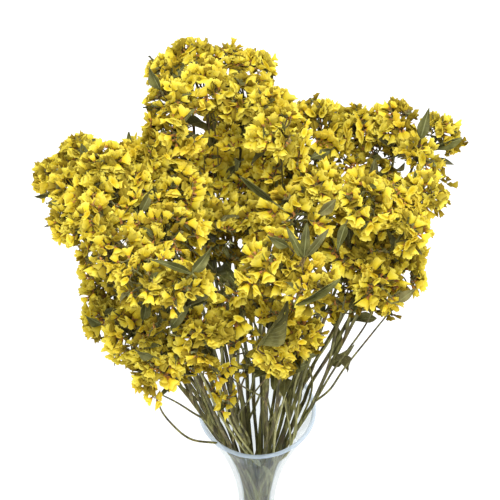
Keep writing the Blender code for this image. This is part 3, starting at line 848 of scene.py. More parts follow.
def make_glass(name, colour, roughness, transmission, clear_share):
    material, tree, shader, add = start_material(name)
    place = add("ShaderNodeTexCoord").outputs["Object"]
    ripple = add("ShaderNodeTexNoise", {"Vector": place, "Scale": 22.0, "Detail": 1.0}).outputs["Fac"]
    bump = add("ShaderNodeBump", {"Height": ripple, "Strength": 0.1, "Distance": 0.002})
    tree.links.new(bump.outputs["Normal"], shader.inputs["Normal"])
    shader.inputs["Base Color"].default_value = (*colour, 1)
    shader.inputs["Roughness"].default_value = roughness
    shader.inputs["IOR"].default_value = 1.46
    shader.inputs["Transmission Weight"].default_value = transmission
    through = add("ShaderNodeBsdfTransparent", {"Color": (0.85, 0.875, 0.88, 1)})
    glass = shader.outputs["BSDF"]
    both = add("ShaderNodeMixShader", {0: clear_share, 1: glass, 2: through.outputs["BSDF"]})
    tree.links.new(both.outputs["Shader"], tree.nodes["Material Output"].inputs["Surface"])
    return material


clear_glass = make_glass("vase_glass", (0.86, 0.92, 0.95), 0.03, 1.0, CLEAR_SHARE)
rim_glass = make_glass("vase_rim_glass", (0.46, 0.56, 0.67), 0.12, 0.25, RIM_CLEAR_SHARE)
print("made", clear_glass.name, "and", rim_glass.name)

# %% [markdown]
# ## One floret
#
# A statice floret is a crumpled paper funnel of five lobes with torn ends. It is modelled as a
# sheet that is rolled up: a grid whose one side runs round the funnel and whose other side runs
# from the root up the outside, over the torn edge and down the inside. The seam and the two ends
# then close with one merge. Each lobe has a notch and two corners, pleats run up the funnel, and
# it is pressed more or less flat, which gives the wedges that one sees from the side. A few
# florets are enough, because each copy is also turned, stretched and toned by chance.

# %% Floret shapes
FINE_KINDS, COARSE_KINDS = 14, 5
LOBES = 5
FLORET_LENGTH = 0.0086
# Radius and height at each station from the root over the torn edge and in again
PROFILE = ((0.0, 0.0), (0.0023, 0.0044), (0.0046, 0.0086), (0.0, 0.0036))
ALONG = (0.0, 0.5, 1.0, 0.3)
EDGE_ROW = 2
FINE_TEETH = (0.90, 1.02, 0.97, 1.04)
COARSE_TEETH = (0.88, 1.04)
PLEAT = 0.085
FLATNESS = (0.22, 0.62)
OPENING = (0.82, 1.12)
FUNNEL_BEND = (-0.22, 0.22)
BELLY = (0.85, 1.2)
TOOTH_PLAY = (0.93, 1.07)
TORN = 0.0006
NOTCH = 0.0009
COLUMN_PLAY = 0.2
OVAL = 0.12
RUFFLE = 0.0007
BRACT_SIDES = 4
BRACT_RADII = (0.0003, 0.0015)
BRACT_HEIGHT = 0.0034
BRACT_LIFT = 0.0009
BRACT_PLAY = 0.0003
FLORET_SEED = 41
MERGE = 0.00001


def add_bract_cone(bm, rng):
    """The small bract that a floret stands in: a four-sided cone, in the second material."""
    made = bmesh.ops.create_cone(
        bm,
        cap_ends=True,
        segments=BRACT_SIDES,
        radius1=BRACT_RADII[0],
        radius2=BRACT_RADII[1],
        depth=BRACT_HEIGHT,
        matrix=Matrix.Translation((0, 0, BRACT_LIFT)),
    )
    for vert in made["verts"]:
        vert.co += Vector([rng.uniform(-BRACT_PLAY, BRACT_PLAY) for _ in range(3)])
    for face in {face for vert in made["verts"] for face in vert.link_faces}:
        face.material_index = 1


def make_floret(name, teeth, rng):
    """A closed, crumpled funnel of five lobes with the same teeth each, on its root along +Z."""
    bm = bmesh.new()
    parts = len(teeth)
    columns, rows = LOBES * parts, len(PROFILE) - 1
    bmesh.ops.create_grid(bm, x_segments=columns, y_segments=rows, size=1)
    along = bm.verts.layers.float.new("along")
    flat = rng.uniform(*FLATNESS)
    opening = rng.uniform(*OPENING)
    bend = rng.uniform(*FUNNEL_BEND)
    belly = rng.uniform(*BELLY)
    edges = [rng.uniform(*TOOTH_PLAY) * teeth[k % parts] for k in range(columns)]
    lifts = [rng.uniform(-TORN, TORN) - (0 if k % parts else NOTCH) for k in range(columns)]
    turns = [
        math.tau * (k + rng.uniform(-COLUMN_PLAY, COLUMN_PLAY)) / columns for k in range(columns)
    ]
    waves = [rng.uniform(0, math.tau) for _ in range(2)]
    for vert in bm.verts:
        column = round((vert.co.x + 1) / 2 * columns) % columns
        row = round((vert.co.y + 1) / 2 * rows)
        radius, height = PROFILE[row]
        share = height / FLORET_LENGTH
        turn = turns[column]
        radius *= 1 + (opening - 1) * share + OVAL * share * math.sin(2 * turn + waves[0])
        if row == EDGE_ROW:
            radius *= edges[column]
            height += lifts[column] + RUFFLE * math.sin(2 * turn + waves[1])
        else:
            radius *= belly * (1 + (PLEAT if column % 2 else -PLEAT))
        y = radius * math.sin(turn) * (1 + (flat - 1) * share)
        vert.co = (radius * math.cos(turn) + bend * height * share, y, height)
        vert[along] = ALONG[row]
    bmesh.ops.remove_doubles(bm, verts=bm.verts[:], dist=MERGE)
    bmesh.ops.recalc_face_normals(bm, faces=bm.faces[:])
    add_bract_cone(bm, rng)
    mesh = bpy.data.meshes.new(name)
    bm.to_mesh(mesh)
    bm.free()
    return mesh


rng = random.Random(FLORET_SEED)
fine_florets = [make_floret(f"fine_floret_{k}", FINE_TEETH, rng) for k in range(FINE_KINDS)]
coarse_florets = [make_floret(f"coarse_floret_{k}", COARSE_TEETH, rng) for k in range(COARSE_KINDS)]
print("faces of a floret:", len(fine_florets[0].polygons), "or", len(coarse_florets[0].polygons))

# %% [markdown]
# ## One leaf
#
# Leaves are made the same way: a grid is pulled in to a lance shape, folded a little along its
# midrib, waved at its edges and arched. It stays a sheet until all leaves of a piece are joined.
# A coarse kind serves for the many small bract leaves under the flowers, where a fine one would
# be wasted.

# %% Leaf shapes
LEAF_KINDS = 6
LEAFLET_KINDS = 3
LEAF_GRID = (8, 4)
LEAFLET_GRID = (4, 2)
BLADE_ARCH = (0.10, 0.26)
BLADE_FOLD = (0.2, 0.55)
BLADE_BEND = (-0.2, 0.2)
BLADE_TWIST = (-0.6, 0.6)
BLADE_WIDEST = (0.8, 1.35)
EDGE_WAVE = 0.08
FACE_WAVE = 0.09
LEAST_EDGE = 0.04
BLADE_MERGE = 0.001
LEAF_MAP = "leaf_map"


def lance(share):
    """The breadth of a leaf at a share of its length, 1 where it is widest."""
    return math.sin(math.pi * share**0.85) ** 0.8 * (1 - 0.35 * share) * 1.12


def make_leaf(name, columns, rows, rng):
    """A leaf one unit long and one unit wide at most, from its root along +X, face up."""
    bm = bmesh.new()
    bmesh.ops.create_grid(bm, x_segments=columns, y_segments=rows, size=1, calc_uvs=False)
    layer = bm.loops.layers.uv.new(LEAF_MAP)
    for face in bm.faces:
        for loop in face.loops:
            loop[layer].uv = ((loop.vert.co.x + 1) / 2, (loop.vert.co.y + 1) / 2)
    waves = [rng.uniform(0, math.tau) for _ in range(2)]
    arch = rng.uniform(*BLADE_ARCH)
    fold = rng.uniform(*BLADE_FOLD)
    bend = rng.uniform(*BLADE_BEND)
    twist = rng.uniform(*BLADE_TWIST)
    widest = rng.uniform(*BLADE_WIDEST)
    for vert in bm.verts:
        share = (vert.co.x + 1) / 2
        side = vert.co.y
        edge = lance(share**widest) * (1 + EDGE_WAVE * math.sin(9 * share + waves[0]))
        lift = (fold * abs(side) + twist * side * share) * edge * 0.5
        lift += FACE_WAVE * side * abs(side) * math.sin(7 * share + waves[1])
        breadth = side * max(edge, LEAST_EDGE) / 2
        vert.co = (share, breadth + bend * share**2, lift - arch * share**2)
    bmesh.ops.remove_doubles(bm, verts=bm.verts[:], dist=BLADE_MERGE)
    bmesh.ops.recalc_face_normals(bm, faces=bm.faces[:])
    mesh = bpy.data.meshes.new(name)
    bm.to_mesh(mesh)
    bm.free()
    return mesh


leaf_kinds = [make_leaf(f"leaf_kind_{k}", *LEAF_GRID, rng) for k in range(LEAF_KINDS)]
leaflet_kinds = [make_leaf(f"leaflet_kind_{k}", *LEAFLET_GRID, rng) for k in range(LEAFLET_KINDS)]
print("leaf kinds:", len(leaf_kinds), "and", len(leaflet_kinds))

# %% [markdown]
# ## Stamping
#
# A stamp is a kind of floret or leaf with a matrix and a tone. All the stamps of one piece go
# into one bmesh, so that a spray is a single object. The tone is written on the points of each
# stamp after they are joined, in the order in which they went in.

# %% Join stamps into one piece
SHARP_ANGLE = math.radians(50)


def finish_piece(name, mesh, materials, slot, *nodes):
    """An object of the mesh that rides on the frame and stands for some of its nodes."""
    piece = bpy.data.objects.new(name, mesh)
    bpy.context.scene.collection.objects.link(piece)
    for material in materials:
        mesh.materials.append(material)
    mesh.shade_smooth()
    mesh.set_sharp_from_angle(angle=SHARP_ANGLE)
    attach(piece, "root")
    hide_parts(*nodes)
    return piece


def join_stamps(name, stamps):
    """One mesh of copies, each (kind, matrix, tone), with the tones kept on its points."""
    bm = bmesh.new()
    tones = []
    for kind, matrix, tone in stamps:
        copy = kind.copy()
        copy.transform(matrix)
        bm.from_mesh(copy)
        bpy.data.meshes.remove(copy)
        tones += [tone] * len(kind.vertices)
    mesh = bpy.data.meshes.new(name)
    bm.to_mesh(mesh)
    bm.free()
    layer = mesh.attributes.new("tone", "FLOAT", "POINT")
    layer.data.foreach_set("value", tones)
    return mesh


print("stamps are joined by join_stamps and dressed by finish_piece")

# %% [markdown]
# ## A head of flowers
#
# The florets of statice stand in short combs: two ranks that lean away from a brown axis, three
# or four florets long. A head is some eight combs on thin twigs. The rule follows that: combs are
# spread evenly over the head's flattened dome, and their florets lean out to both sides until
# their edges reach the dome. Where two heads meet, each keeps to its own side. A second layer of
# coarser combs lies under the first, where one only sees it in the shade; their dark colour is
# partly age and partly painted shade.

# %% The room of a head
CUP_SPREAD = 1.28
CUP_HEIGHT = 0.86
HEAD_REACH = 0.004
SHARE_LIMITS = (0.3, 0.7)
BOX_PLAY = 0.003


def room_of(head, direction):
    """How far a floret may reach this way from the head's middle."""
    lift = direction.dot(head["axis"])
    sideways = math.sqrt(max(0, 1 - lift**2))
    reach = head["radius"] / math.hypot(lift / CUP_HEIGHT, sideways / CUP_SPREAD)
    for _, between, plane in head["neighbours"]:
        closing = direction.dot(between)
        if closing * reach > plane:
            reach = plane / closing
    for side in range(3):
        wall = abs(CAD_BOX[direction[side] > 0][side] - head["middle"][side]) + BOX_PLAY
        if abs(direction[side]) * reach > wall:
            reach = wall / abs(direction[side])
    return reach


def find_neighbours(head):
    """The heads near this one, with the way to each and how far off the border between them is."""
    found = []
    for other in heads:
        between = other["middle"] - head["middle"]
        apart = between.length
        if other is head or apart > (head["radius"] + other["radius"]) * CUP_SPREAD + HEAD_REACH:
            continue
        share = (apart**2 + head["radius"] ** 2 - other["radius"] ** 2) / (2 * apart**2)
        plane = apart * min(max(share, SHARE_LIMITS[0]), SHARE_LIMITS[1])
        found.append((other, between / apart, plane))
    return found


for number, head in enumerate(heads):
    head["number"] = number
    head["neighbours"] = find_neighbours(head)
print("borders between heads:", sum(len(head["neighbours"]) for head in heads) // 2)

# %% Combs of florets
GOLDEN_ANGLE = math.pi * (3 - math.sqrt(5))
COMB_AREA = 0.00038
LOWEST_COMB = math.radians(98)
UNDER_COMBS = 10
UNDER_DEPTH = (0.4, 0.72)
START_DEPTH = 0.78
DEPTH_WAVE = 0.004
FLORETS_A_RANK = (3, 4)
FLORET_STEP = 0.0049
RANK_LEAN = (30, 74)
RANK_SPREAD = (-0.35, 0.55)
COMB_SEED = 43
SIZE_LIMITS = (0.74, 1.12)
SIZE_PLAY = (0.82, 1.08)
VIGOUR = (0.98, 1.22)
ROLL = 0.6
STRETCH = (0.9, 1.12)
# Tones of the coarse florets: dark, partly for age and partly as painted shade
AGED_AND_PAINTED_SHADE_TONES = (0.0, 0.4)
FADE = 0.25
STEP_PLAY = 0.6
LEAN_PLAY = 0.1
RANK_OFF = 0.0006
END_ALONG, END_OUT = 0.9, 0.6


def across(direction, axis):
    """The part of a direction that is at right angles to an axis."""
    return (direction - axis * direction.dot(axis)).normalized()


def random_way(rng):
    """A vector with an even chance for each direction."""
    return Vector([rng.gauss(0, 1) for _ in range(3)])


def floret_stamp(kinds, root, direction, row, size, rng):
    """A floret on its root, its wide side about along its row; coarse ones dark: aged and painted
    shade.
    """
    wide = across(row, direction)
    turn = Matrix((wide, direction.cross(wide), direction)).transposed()
    turn = turn @ Matrix.Rotation(rng.uniform(-ROLL, ROLL), 3, "Z")
    turn = turn @ Matrix.Diagonal((size * rng.uniform(*STRETCH), size, size))
    if kinds is coarse_florets:
        tone = rng.uniform(*AGED_AND_PAINTED_SHADE_TONES)
    else:
        tone = 1 - FADE * rng.random() ** 2
    return kinds[rng.randrange(len(kinds))], Matrix.Translation(root) @ turn.to_4x4(), tone


def comb_stamps(kinds, start, outward, row, size_at, rng):
    """Two ranks of florets that lean away from an axis along the row, and one at its end."""
    side = outward.cross(row)
    count = rng.randint(*FLORETS_A_RANK)
    stamps = []
    for rank in (-1, 1):
        for k in range(count):
            lean = math.radians(rng.uniform(*RANK_LEAN)) * rank
            share = (k + rng.uniform(0, STEP_PLAY)) / count
            spread = RANK_SPREAD[0] + (RANK_SPREAD[1] - RANK_SPREAD[0]) * share
            direction = outward * math.cos(lean) + side * math.sin(lean) + row * spread
            direction = (direction + random_way(rng) * LEAN_PLAY).normalized()
            root = start + row * FLORET_STEP * count * (share - 0.5) + side * rank * RANK_OFF
            size = size_at(root, direction) * rng.uniform(*SIZE_PLAY)
            stamps.append(floret_stamp(kinds, root, direction, row, size, rng))
    direction = (row * END_ALONG + outward * END_OUT).normalized()
    root = start + row * FLORET_STEP * count / 2
    stamps.append(floret_stamp(kinds, root, direction, side, size_at(root, direction), rng))
    return stamps


print("florets of a comb:", " or ".join(str(2 * count + 1) for count in FLORETS_A_RANK))

# %% Combs on the dome of a head
LEAST_COMBS = 5
FIRST_COMB = 0.4
COMB_PLAY = 0.12
LEAST_DEPTH = 0.35
UNDER_PLAY = 0.35
ROW_PLAY = 0.5


def comb_directions(head, rng):
    """Directions of a head's combs, spread over its dome like the seeds of a sunflower."""
    wide, tall = head["radius"] * CUP_SPREAD, head["radius"] * CUP_HEIGHT
    count = max(LEAST_COMBS, round(math.pi * wide * (wide + tall) / 2 / COMB_AREA))
    pose = head["axis"].to_track_quat("Z", "Y").to_matrix()
    start = rng.uniform(0, math.tau)
    directions = []
    for k in range(count):
        slope = LOWEST_COMB * math.sqrt((k + FIRST_COMB) / count)
        bearing = start + k * GOLDEN_ANGLE
        flat = math.sin(slope)
        local = Vector((flat * math.cos(bearing), flat * math.sin(bearing), math.cos(slope)))
        directions.append((pose @ local + random_way(rng) * COMB_PLAY).normalized())
    return directions


def dress_head(head, spray, rng):
    """The combs of a head, in two layers, and the twigs that carry them."""
    seat = head["middle"] - head["axis"] * head["radius"] * CORE_SHARE
    vigour = rng.uniform(*VIGOUR)

    def size_at(root, direction):
        tip = root + direction * FLORET_LENGTH - head["middle"]
        spare = (room_of(head, tip.normalized()) - tip.length) / FLORET_LENGTH
        return min(max(1 + spare, SIZE_LIMITS[0]), SIZE_LIMITS[1]) * vigour

    outer = comb_directions(head, rng)
    for number, outward in enumerate(outer + outer[::-1][:UNDER_COMBS]):
        room = room_of(head, outward)
        under = number >= len(outer)
        depth = room * rng.uniform(*UNDER_DEPTH)
        if not under:
            sunk = FLORET_LENGTH * START_DEPTH + rng.uniform(0, DEPTH_WAVE)
            depth = max(room - sunk, room * LEAST_DEPTH)
        if under:
            outward = (outward + random_way(rng) * UNDER_PLAY).normalized()
        start = head["middle"] + outward * depth
        row = across(across(outward, head["axis"]) + random_way(rng) * ROW_PLAY, outward)
        kinds = coarse_florets if under else fine_florets
        spray["florets"] += comb_stamps(kinds, start, outward, row, size_at, rng)
        spray["combs"].append((seat, head["axis"], start, outward, row))


rng = random.Random(COMB_SEED)
for spray in sprays:
    spray["florets"] = []
    spray["combs"] = []
    for head in spray["heads"]:
        dress_head(head, spray, rng)
print("florets on the heads:", sum(len(spray["florets"]) for spray in sprays))

# %% [markdown]
# Below and between its heads a stem carries smaller side combs, half in shade, of coarse florets
# that are dark partly for age and partly as painted shade. They are what keeps one from seeing
# through the bunch. Some hang between the fork and the two heads, and each saddle between heads
# that nearly touch has two: a dark coarse one deep in it, aged and painted shade, and a fresh one
# above.
# Two sprays go without those in the saddles, because their heads hang loose at the side.

# %% Side combs in the shade
SIDE_COMBS = 8
LOWEST_SIDE_COMB = -0.095
COMB_INSET = 0.003
SIDE_REACH = (0.010, 0.024)
SIDE_LEAN = (35, 70)
SADDLE_SINK = (0.10, 0.30)
SADDLE_RISE = (0.15, 0.5)
LOOSE_SPRAYS = (8, 9)
COMMON_RADIUS = 0.03
SIDE_LIFT = 0.35
SIDE_PLAY = 0.3
SIDE_SIZE = 0.9


def spot_on(way, first, rng):
    """A place on a way from its point number first on, with the way's direction there."""
    leg = rng.randrange(first, len(way) - 1)
    place = way[leg].lerp(way[leg + 1], rng.random())
    return place, (way[leg + 1] - way[leg]).normalized()


def into_box(place, inset):
    """The place itself, or the nearest one that is this far inside the frame's box."""
    low, high = CAD_BOX
    return Vector([min(max(place[k], low[k] + inset), high[k] - inset) for k in range(3)])


def add_comb(spray, base, heading, start, kinds, rng):
    """A comb that faces outwards from the bunch, on a twig from a base on a stem."""
    outward = (start - RIM_CENTRE).normalized() + UP * SIDE_LIFT
    outward = (outward + random_way(rng) * SIDE_PLAY).normalized()
    start = into_box(start, COMB_INSET)
    row = across(random_way(rng), outward)
    spray["florets"] += comb_stamps(kinds, start, outward, row, lambda *_: SIDE_SIZE, rng)
    spray["combs"].append((base, heading, start, outward, row))


def add_side_combs(spray, rng):
    """Small dark combs (age and painted shade) from a spray's fork to its heads, not low among bare
    stems.
    """
    for _ in range(SIDE_COMBS):
        on_branch = rng.random() < 0.5
        way = spray["branch"] if on_branch else spray["stem"]
        base, heading = spot_on(way, 1 if on_branch else spray["fork"] + 1, rng)
        lean = math.radians(rng.uniform(*SIDE_LEAN))
        way_out = heading * math.cos(lean) + across(random_way(rng), heading) * math.sin(lean)
        start = base + way_out * rng.uniform(*SIDE_REACH)
        if (start - AIM).dot(RISE) > LOWEST_SIDE_COMB:
            add_comb(spray, base, heading, start, coarse_florets, rng)


def add_saddle_combs(number, spray, rng):
    """Two combs in each saddle between a head of this spray and a neighbour."""
    for head in spray["heads"]:
        seat = head["middle"] - head["axis"] * head["radius"] * CORE_SHARE
        for other, between, plane in head["neighbours"]:
            if other["number"] < head["number"] or number in LOOSE_SPRAYS:
                continue
            saddle = head["middle"] + between * plane
            sink = rng.uniform(*SADDLE_SINK) * head["radius"] / COMMON_RADIUS
            add_comb(spray, seat, head["axis"], saddle.lerp(RIM_CENTRE, sink), coarse_florets, rng)
            lift = (saddle - RIM_CENTRE).normalized() * min(head["radius"], other["radius"])
            start = saddle + lift * rng.uniform(*SADDLE_RISE)
            add_comb(spray, seat, head["axis"], start, fine_florets, rng)


for number, spray in enumerate(sprays):
    add_side_combs(spray, rng)
    add_saddle_combs(number, spray, rng)
print("florets in all:", sum(len(spray["florets"]) for spray in sprays))


# %% [markdown]
# Low down, where the stems show, a few small sprigs bloom by themselves, and more of them fill
# the valleys between the heads. Each is listed as millimetres across and up in the slanting
# view. It hangs in front of the stem that passes nearest to its line of sight, on a twig from
# that stem.

# %% Sprigs between the stems
SPRIGS = (
    (-36, -122), (-27, -129), (-31, -104), (-16, -78), (17, -99), (-80, -106),
    (-93, -120), (-52, -98), (60, -48), (-118, -88), (-60, -60), (28, -52),
    (49, 112), (42, 104), (72, 92), (112, 106), (117, 98), (62, 82), (72, 84), (78, 26),
    (-50, 88), (-38, 80), (-22, 88), (-8, 80), (-45, 68), (-28, 66), (-10, 64), (4, 72),
    (-52, 54), (-34, 52), (-16, 50), (2, 56), (14, 66), (-2, 92), (-30, 98),
)
SPRIG_FORWARD = 0.012
SPRIG_DROP = 0.01
SHARES_OF_LEG = (0.0, 0.33, 0.67)
NEAR_FIRST = 0.04


def nearest_stem(across_view, up_view):
    """A sprig's start, its base and heading on the stem nearest to the line of sight, and the spray."""
    eye, way = look_at(across_view, up_view)
    found = []
    for spray in sprays:
        for name in ("stem", "branch"):
            points = spray[name]
            for start, end in zip(points, points[1:]):
                heading = (end - start).normalized()
                for share in SHARES_OF_LEG:
                    place = start.lerp(end, share)
                    depth = (place - eye).dot(way)
                    miss = (place - eye - way * depth).length + depth * NEAR_FIRST
                    if place.z > VASE_HEIGHT:
                        found.append((miss, depth, place, heading, spray))
    _, depth, place, heading, spray = min(found, key=lambda entry: entry[0])
    return eye + way * (depth - SPRIG_FORWARD), place - heading * SPRIG_DROP, heading, spray


for across_view, up_view in SPRIGS:
    start, base, heading, spray = nearest_stem(across_view, up_view)
    add_comb(spray, base, heading, start, fine_florets, rng)
print("sprigs:", len(SPRIGS))


# %% [markdown]
# The bunch isn't closed everywhere. Through a few windows one sees the light behind it, or bare
# stems in the shade. A window is a spot in the slanting view with a radius, in millimetres: the
# florets and bract leaves that would close it are left out. In a hollow, those at the back of
# the bunch stay, and they get the darkest tone, which is painted shade. In thin places a share of
# the fresh florets is missing, and in the painted-light places even those in the shade get a
# bright tone, which is painted light.

# %% Windows in the bunch
WINDOWS = (
    (-52, 107, 10), (-59, 116, 4), (-77, 114, 3), (-61, 132, 3), (-82, 98, 3), (104, 80, 6),
    (101, 86, 5), (118, 76, 8), (124, 67, 7), (135, 120, 6), (136, 108, 6), (148, 97, 6), (70, -22, 4),
    (64, -36, 5), (57, -50, 5), (-120, 18, 4), (-114, 7, 4), (-108, -4, 3),
)
HOLLOWS = ((-24, 12, 9), (-24, -2, 11), (-27, -17, 10), (-33, -30, 8))
# Where even the florets in the shade get a bright tone: painted light
PAINTED_LIGHT_PLACES = ((-30, 74, 30), (-6, 78, 24), (-40, 60, 20))
# Across, up, radius and the share of the fresh florets that is missing
THIN_PLACES = ((-93, 16, 36, 0.30), (-40, -48, 34, 0.22), (-98, -42, 34, 0.22), (20, 10, 30, 0.2))
HOLLOW_BACK = VIEW_DISTANCE - 0.05
FLORET_MIDDLE = 0.7
PAINTED_LIGHT_TONE = 0.85
WINDOW_SEED = 45


def is_open(place, spots):
    """Whether a place lies on the line of sight through one of the spots."""
    for across_view, up_view, size in spots:
        eye, way = look_at(across_view, up_view)
        off = place - eye
        if (off - way * off.dot(way)).length < size * MM:
            return True
    return False


def missing_share(place):
    """The share of fresh florets that is missing where a place is seen."""
    return max((share for *spot, share in THIN_PLACES if is_open(place, (spot,))), default=0)


def open_up(stamps, rng):
    """Leaves out the florets in the windows, in the hollows those in front, and some elsewhere."""
    left = []
    for kind, matrix, tone in stamps:
        middle = matrix @ Vector((0, 0, FLORET_LENGTH * FLORET_MIDDLE))
        in_hollow = is_open(middle, HOLLOWS)
        in_front = (AIM + TOWARD * VIEW_DISTANCE - middle).dot(TOWARD) < HOLLOW_BACK
        missing = kind in fine_florets and rng.random() < missing_share(middle)
        if not is_open(middle, WINDOWS) and not (in_hollow and in_front) and not missing:
            # Painted light: florets in these places get at least a bright tone, though they sit in the
            # shade
            if is_open(middle, PAINTED_LIGHT_PLACES):
                tone = max(tone, PAINTED_LIGHT_TONE)
            # Painted shade: what stays in a hollow gets the darkest tone
            left.append((kind, matrix, 0 if in_hollow else tone))
    return left


rng = random.Random(WINDOW_SEED)
for spray in sprays:
    spray["florets"] = open_up(spray["florets"], rng)
    spray["combs"] = [comb for comb in spray["combs"] if not is_open(comb[2], WINDOWS)]
print("florets left round the windows:", sum(len(spray["florets"]) for spray in sprays))

# %% [markdown]
# Between the florets show pointed brown scales, the ends of their bracts. A few stick out along
# each comb. Then all florets and scales of a spray become one piece, which stands for the
# flowers of that spray in the frame.

# %% Make the floret pieces
SCALES_A_COMB = 4
SCALE_SIDES = 4
SCALE_RADIUS = 0.0009
SCALE_LENGTH = 0.0042
SCALE_SIZES = (0.8, 1.5)
SCALE_FLATNESS = 0.6
SCALE_PLAY = 0.6
SCALE_PLACES = (-0.007, 0.008)


def make_scale(name):
    """A pointed brown scale, as those that show between the florets."""
    bm = bmesh.new()
    bmesh.ops.create_cone(
        bm,
        cap_ends=True,
        segments=SCALE_SIDES,
        radius1=SCALE_RADIUS,
        radius2=0.0,
        depth=SCALE_LENGTH,
        matrix=Matrix.Translation((0, 0, SCALE_LENGTH / 2)),
    )
    for face in bm.faces:
        face.material_index = 1
    mesh = bpy.data.meshes.new(name)
    bm.to_mesh(mesh)
    bm.free()
    return mesh


scale_kind = make_scale("scale_kind")


def scales_at(start, outward, row, rng):
    """A few brown scales that stick out along a comb."""
    stamps = []
    for _ in range(SCALES_A_COMB):
        direction = (outward + random_way(rng) * SCALE_PLAY).normalized()
        size = rng.uniform(*SCALE_SIZES)
        stretch = Matrix.Diagonal((size, size * SCALE_FLATNESS, size))
        turn = direction.to_track_quat("Z", "Y").to_matrix() @ stretch
        root = start + row * rng.uniform(*SCALE_PLACES)
        stamps.append((scale_kind, Matrix.Translation(root) @ turn.to_4x4(), rng.random()))
    return stamps


for number, spray in enumerate(sprays, 1):
    stamps = list(spray["florets"])
    for _, _, start, outward, row in spray["combs"]:
        stamps += scales_at(start, outward, row, rng)
    name = f"florets_{number:02d}"
    mesh = join_stamps(name, stamps)
    finish_piece(name, mesh, (papery_yellow, bract_brown), "papery_yellow", f"flowers_{number:02d}")
print("floret pieces:", len(sprays))

# %% [markdown]
# ## Leaves that show
#
# Most leaves hide under the flowers, but some stand out between the heads and break up the
# yellow. Those are listed one by one like the heads. Each stands in front of the head that is
# nearest to its line of sight, on a stalk from that head's seat.

# %% Leaves that show
# Millimetres across and up to the root, the angle on the view, and a length and width
SHOWN_LEAVES = (
    (-83, 138, 115, 22, 8), (-74, 145, 45, 21, 9), (-7, 144, 150, 20, 8), (-28, 60, 45, 18, 7),
    (-145, 65, 98, 26, 10), (-174, 51, 205, 17, 7), (138, 94, 75, 27, 9), (146, 88, 8, 28, 8),
    (115, 87, 142, 16, 6), (63, 85, 200, 22, 8), (12, 41, 143, 33, 6), (51, 30, 35, 18, 9),
    (108, 10, 40, 22, 10), (26, 2, 150, 19, 7), (38, -6, 83, 25, 8), (37, -6, 117, 25, 6),
    (40, -6, 50, 26, 6), (-57, -19, 45, 24, 10), (-57, -20, 158, 34, 6), (-98, -60, 75, 20, 9),
    (-86, -71, 63, 26, 10), (-75, -66, 52, 30, 9), (-133, -56, 15, 16, 8), (-132, -64, 150, 17, 7),
    (33, -47, 28, 36, 6), (0, -81, 52, 42, 6), (119, -44, 38, 18, 7), (-88, -91, 160, 17, 7),
    (-100, 32, 60, 20, 8), (74, 22, 250, 22, 8), (-20, 108, 80, 20, 8), (95, 60, 70, 18, 7),
)
FORWARD = 0.92
TILT_TO_EYE = 0.2
FACE_PLAY = 0.3


def place_shown_leaf(across_view, up_view, angle, length, width):
    """A leaf in front of the head nearest to its line of sight, and the head's spray and seat."""
    eye, way = look_at(across_view, up_view)

    def miss(pair):
        off = pair[1]["middle"] - eye
        return (off - way * off.dot(way)).length / pair[1]["radius"]

    spray, head = min(((spray, head) for spray in sprays for head in spray["heads"]), key=miss)
    root = eye + way * ((head["middle"] - eye).dot(way) - head["radius"] * FORWARD)
    root = into_box(root, 0)
    turn = math.radians(angle)
    along = (RIGHT * math.cos(turn) + RISE * math.sin(turn) + TOWARD * TILT_TO_EYE).normalized()
    face = across(TOWARD + random_way(rng) * FACE_PLAY, along)
    seat = head["middle"] - head["axis"] * head["radius"] * CORE_SHARE
    return spray, (root, along, face, length * MM, width * MM), seat, head["axis"]


for spray in sprays:
    spray["shown_leaves"] = []
    spray["petioles"] = []
for entry in SHOWN_LEAVES:
    spray, leaf, seat, axis = place_shown_leaf(*entry)
    spray["shown_leaves"].append(leaf)
    spray["petioles"].append((seat, axis, leaf[0], leaf[1]))
print("leaves placed by eye:", len(SHOWN_LEAVES))

# %% [markdown]
# ## Stems and twigs
#
# A statice stem isn't round: thin wings run down it. A curve takes any outline as its bevel, so
# the stems are swept with a three-winged one, smoothed through the frame's points and given a
# slow twist. Twigs are swept with a plain five-sided outline.

# %% Sweep curves into meshes
STEM_SMOOTHING = 6
TWIG_STEPS = 5
STEM_TURNS = 1.3
STEM_WANDER = 0.0015
BENDS = (0.8, 2.6)
WAVES = 3
VASE_SHARE = 0.3


def make_outline(name, radii):
    """A closed flat outline to sweep, with a point for each of the radii round it."""
    curve = bpy.data.curves.new(name, "CURVE")
    curve.dimensions = "2D"
    spline = curve.splines.new("POLY")
    spline.points.add(len(radii) - 1)
    for k, (point, radius) in enumerate(zip(spline.points, radii)):
        turn = math.tau * k / len(radii)
        point.co = (radius * math.cos(turn), radius * math.sin(turn), 0, 1)
    spline.use_cyclic_u = True
    outline = bpy.data.objects.new(name, curve)
    bpy.context.scene.collection.objects.link(outline)
    return outline


winged_outline = make_outline("winged_outline", (1.25, 0.8, 0.7, 0.8) * 3)
round_outline = make_outline("round_outline", (1.0,) * 5)


def smooth_way(way, steps):
    """Points on a smooth curve through those of a way."""
    padded = [way[0] * 2 - way[1], *way, way[-1] * 2 - way[-2]]
    points = []
    for before, start, end, after in zip(padded, padded[1:], padded[2:], padded[3:]):
        first_pull = start + (end - before) / 6
        last_pull = end - (after - start) / 6
        points += [bezier(start, first_pull, last_pull, end, k / steps) for k in range(steps)]
    return [*points, way[-1]]


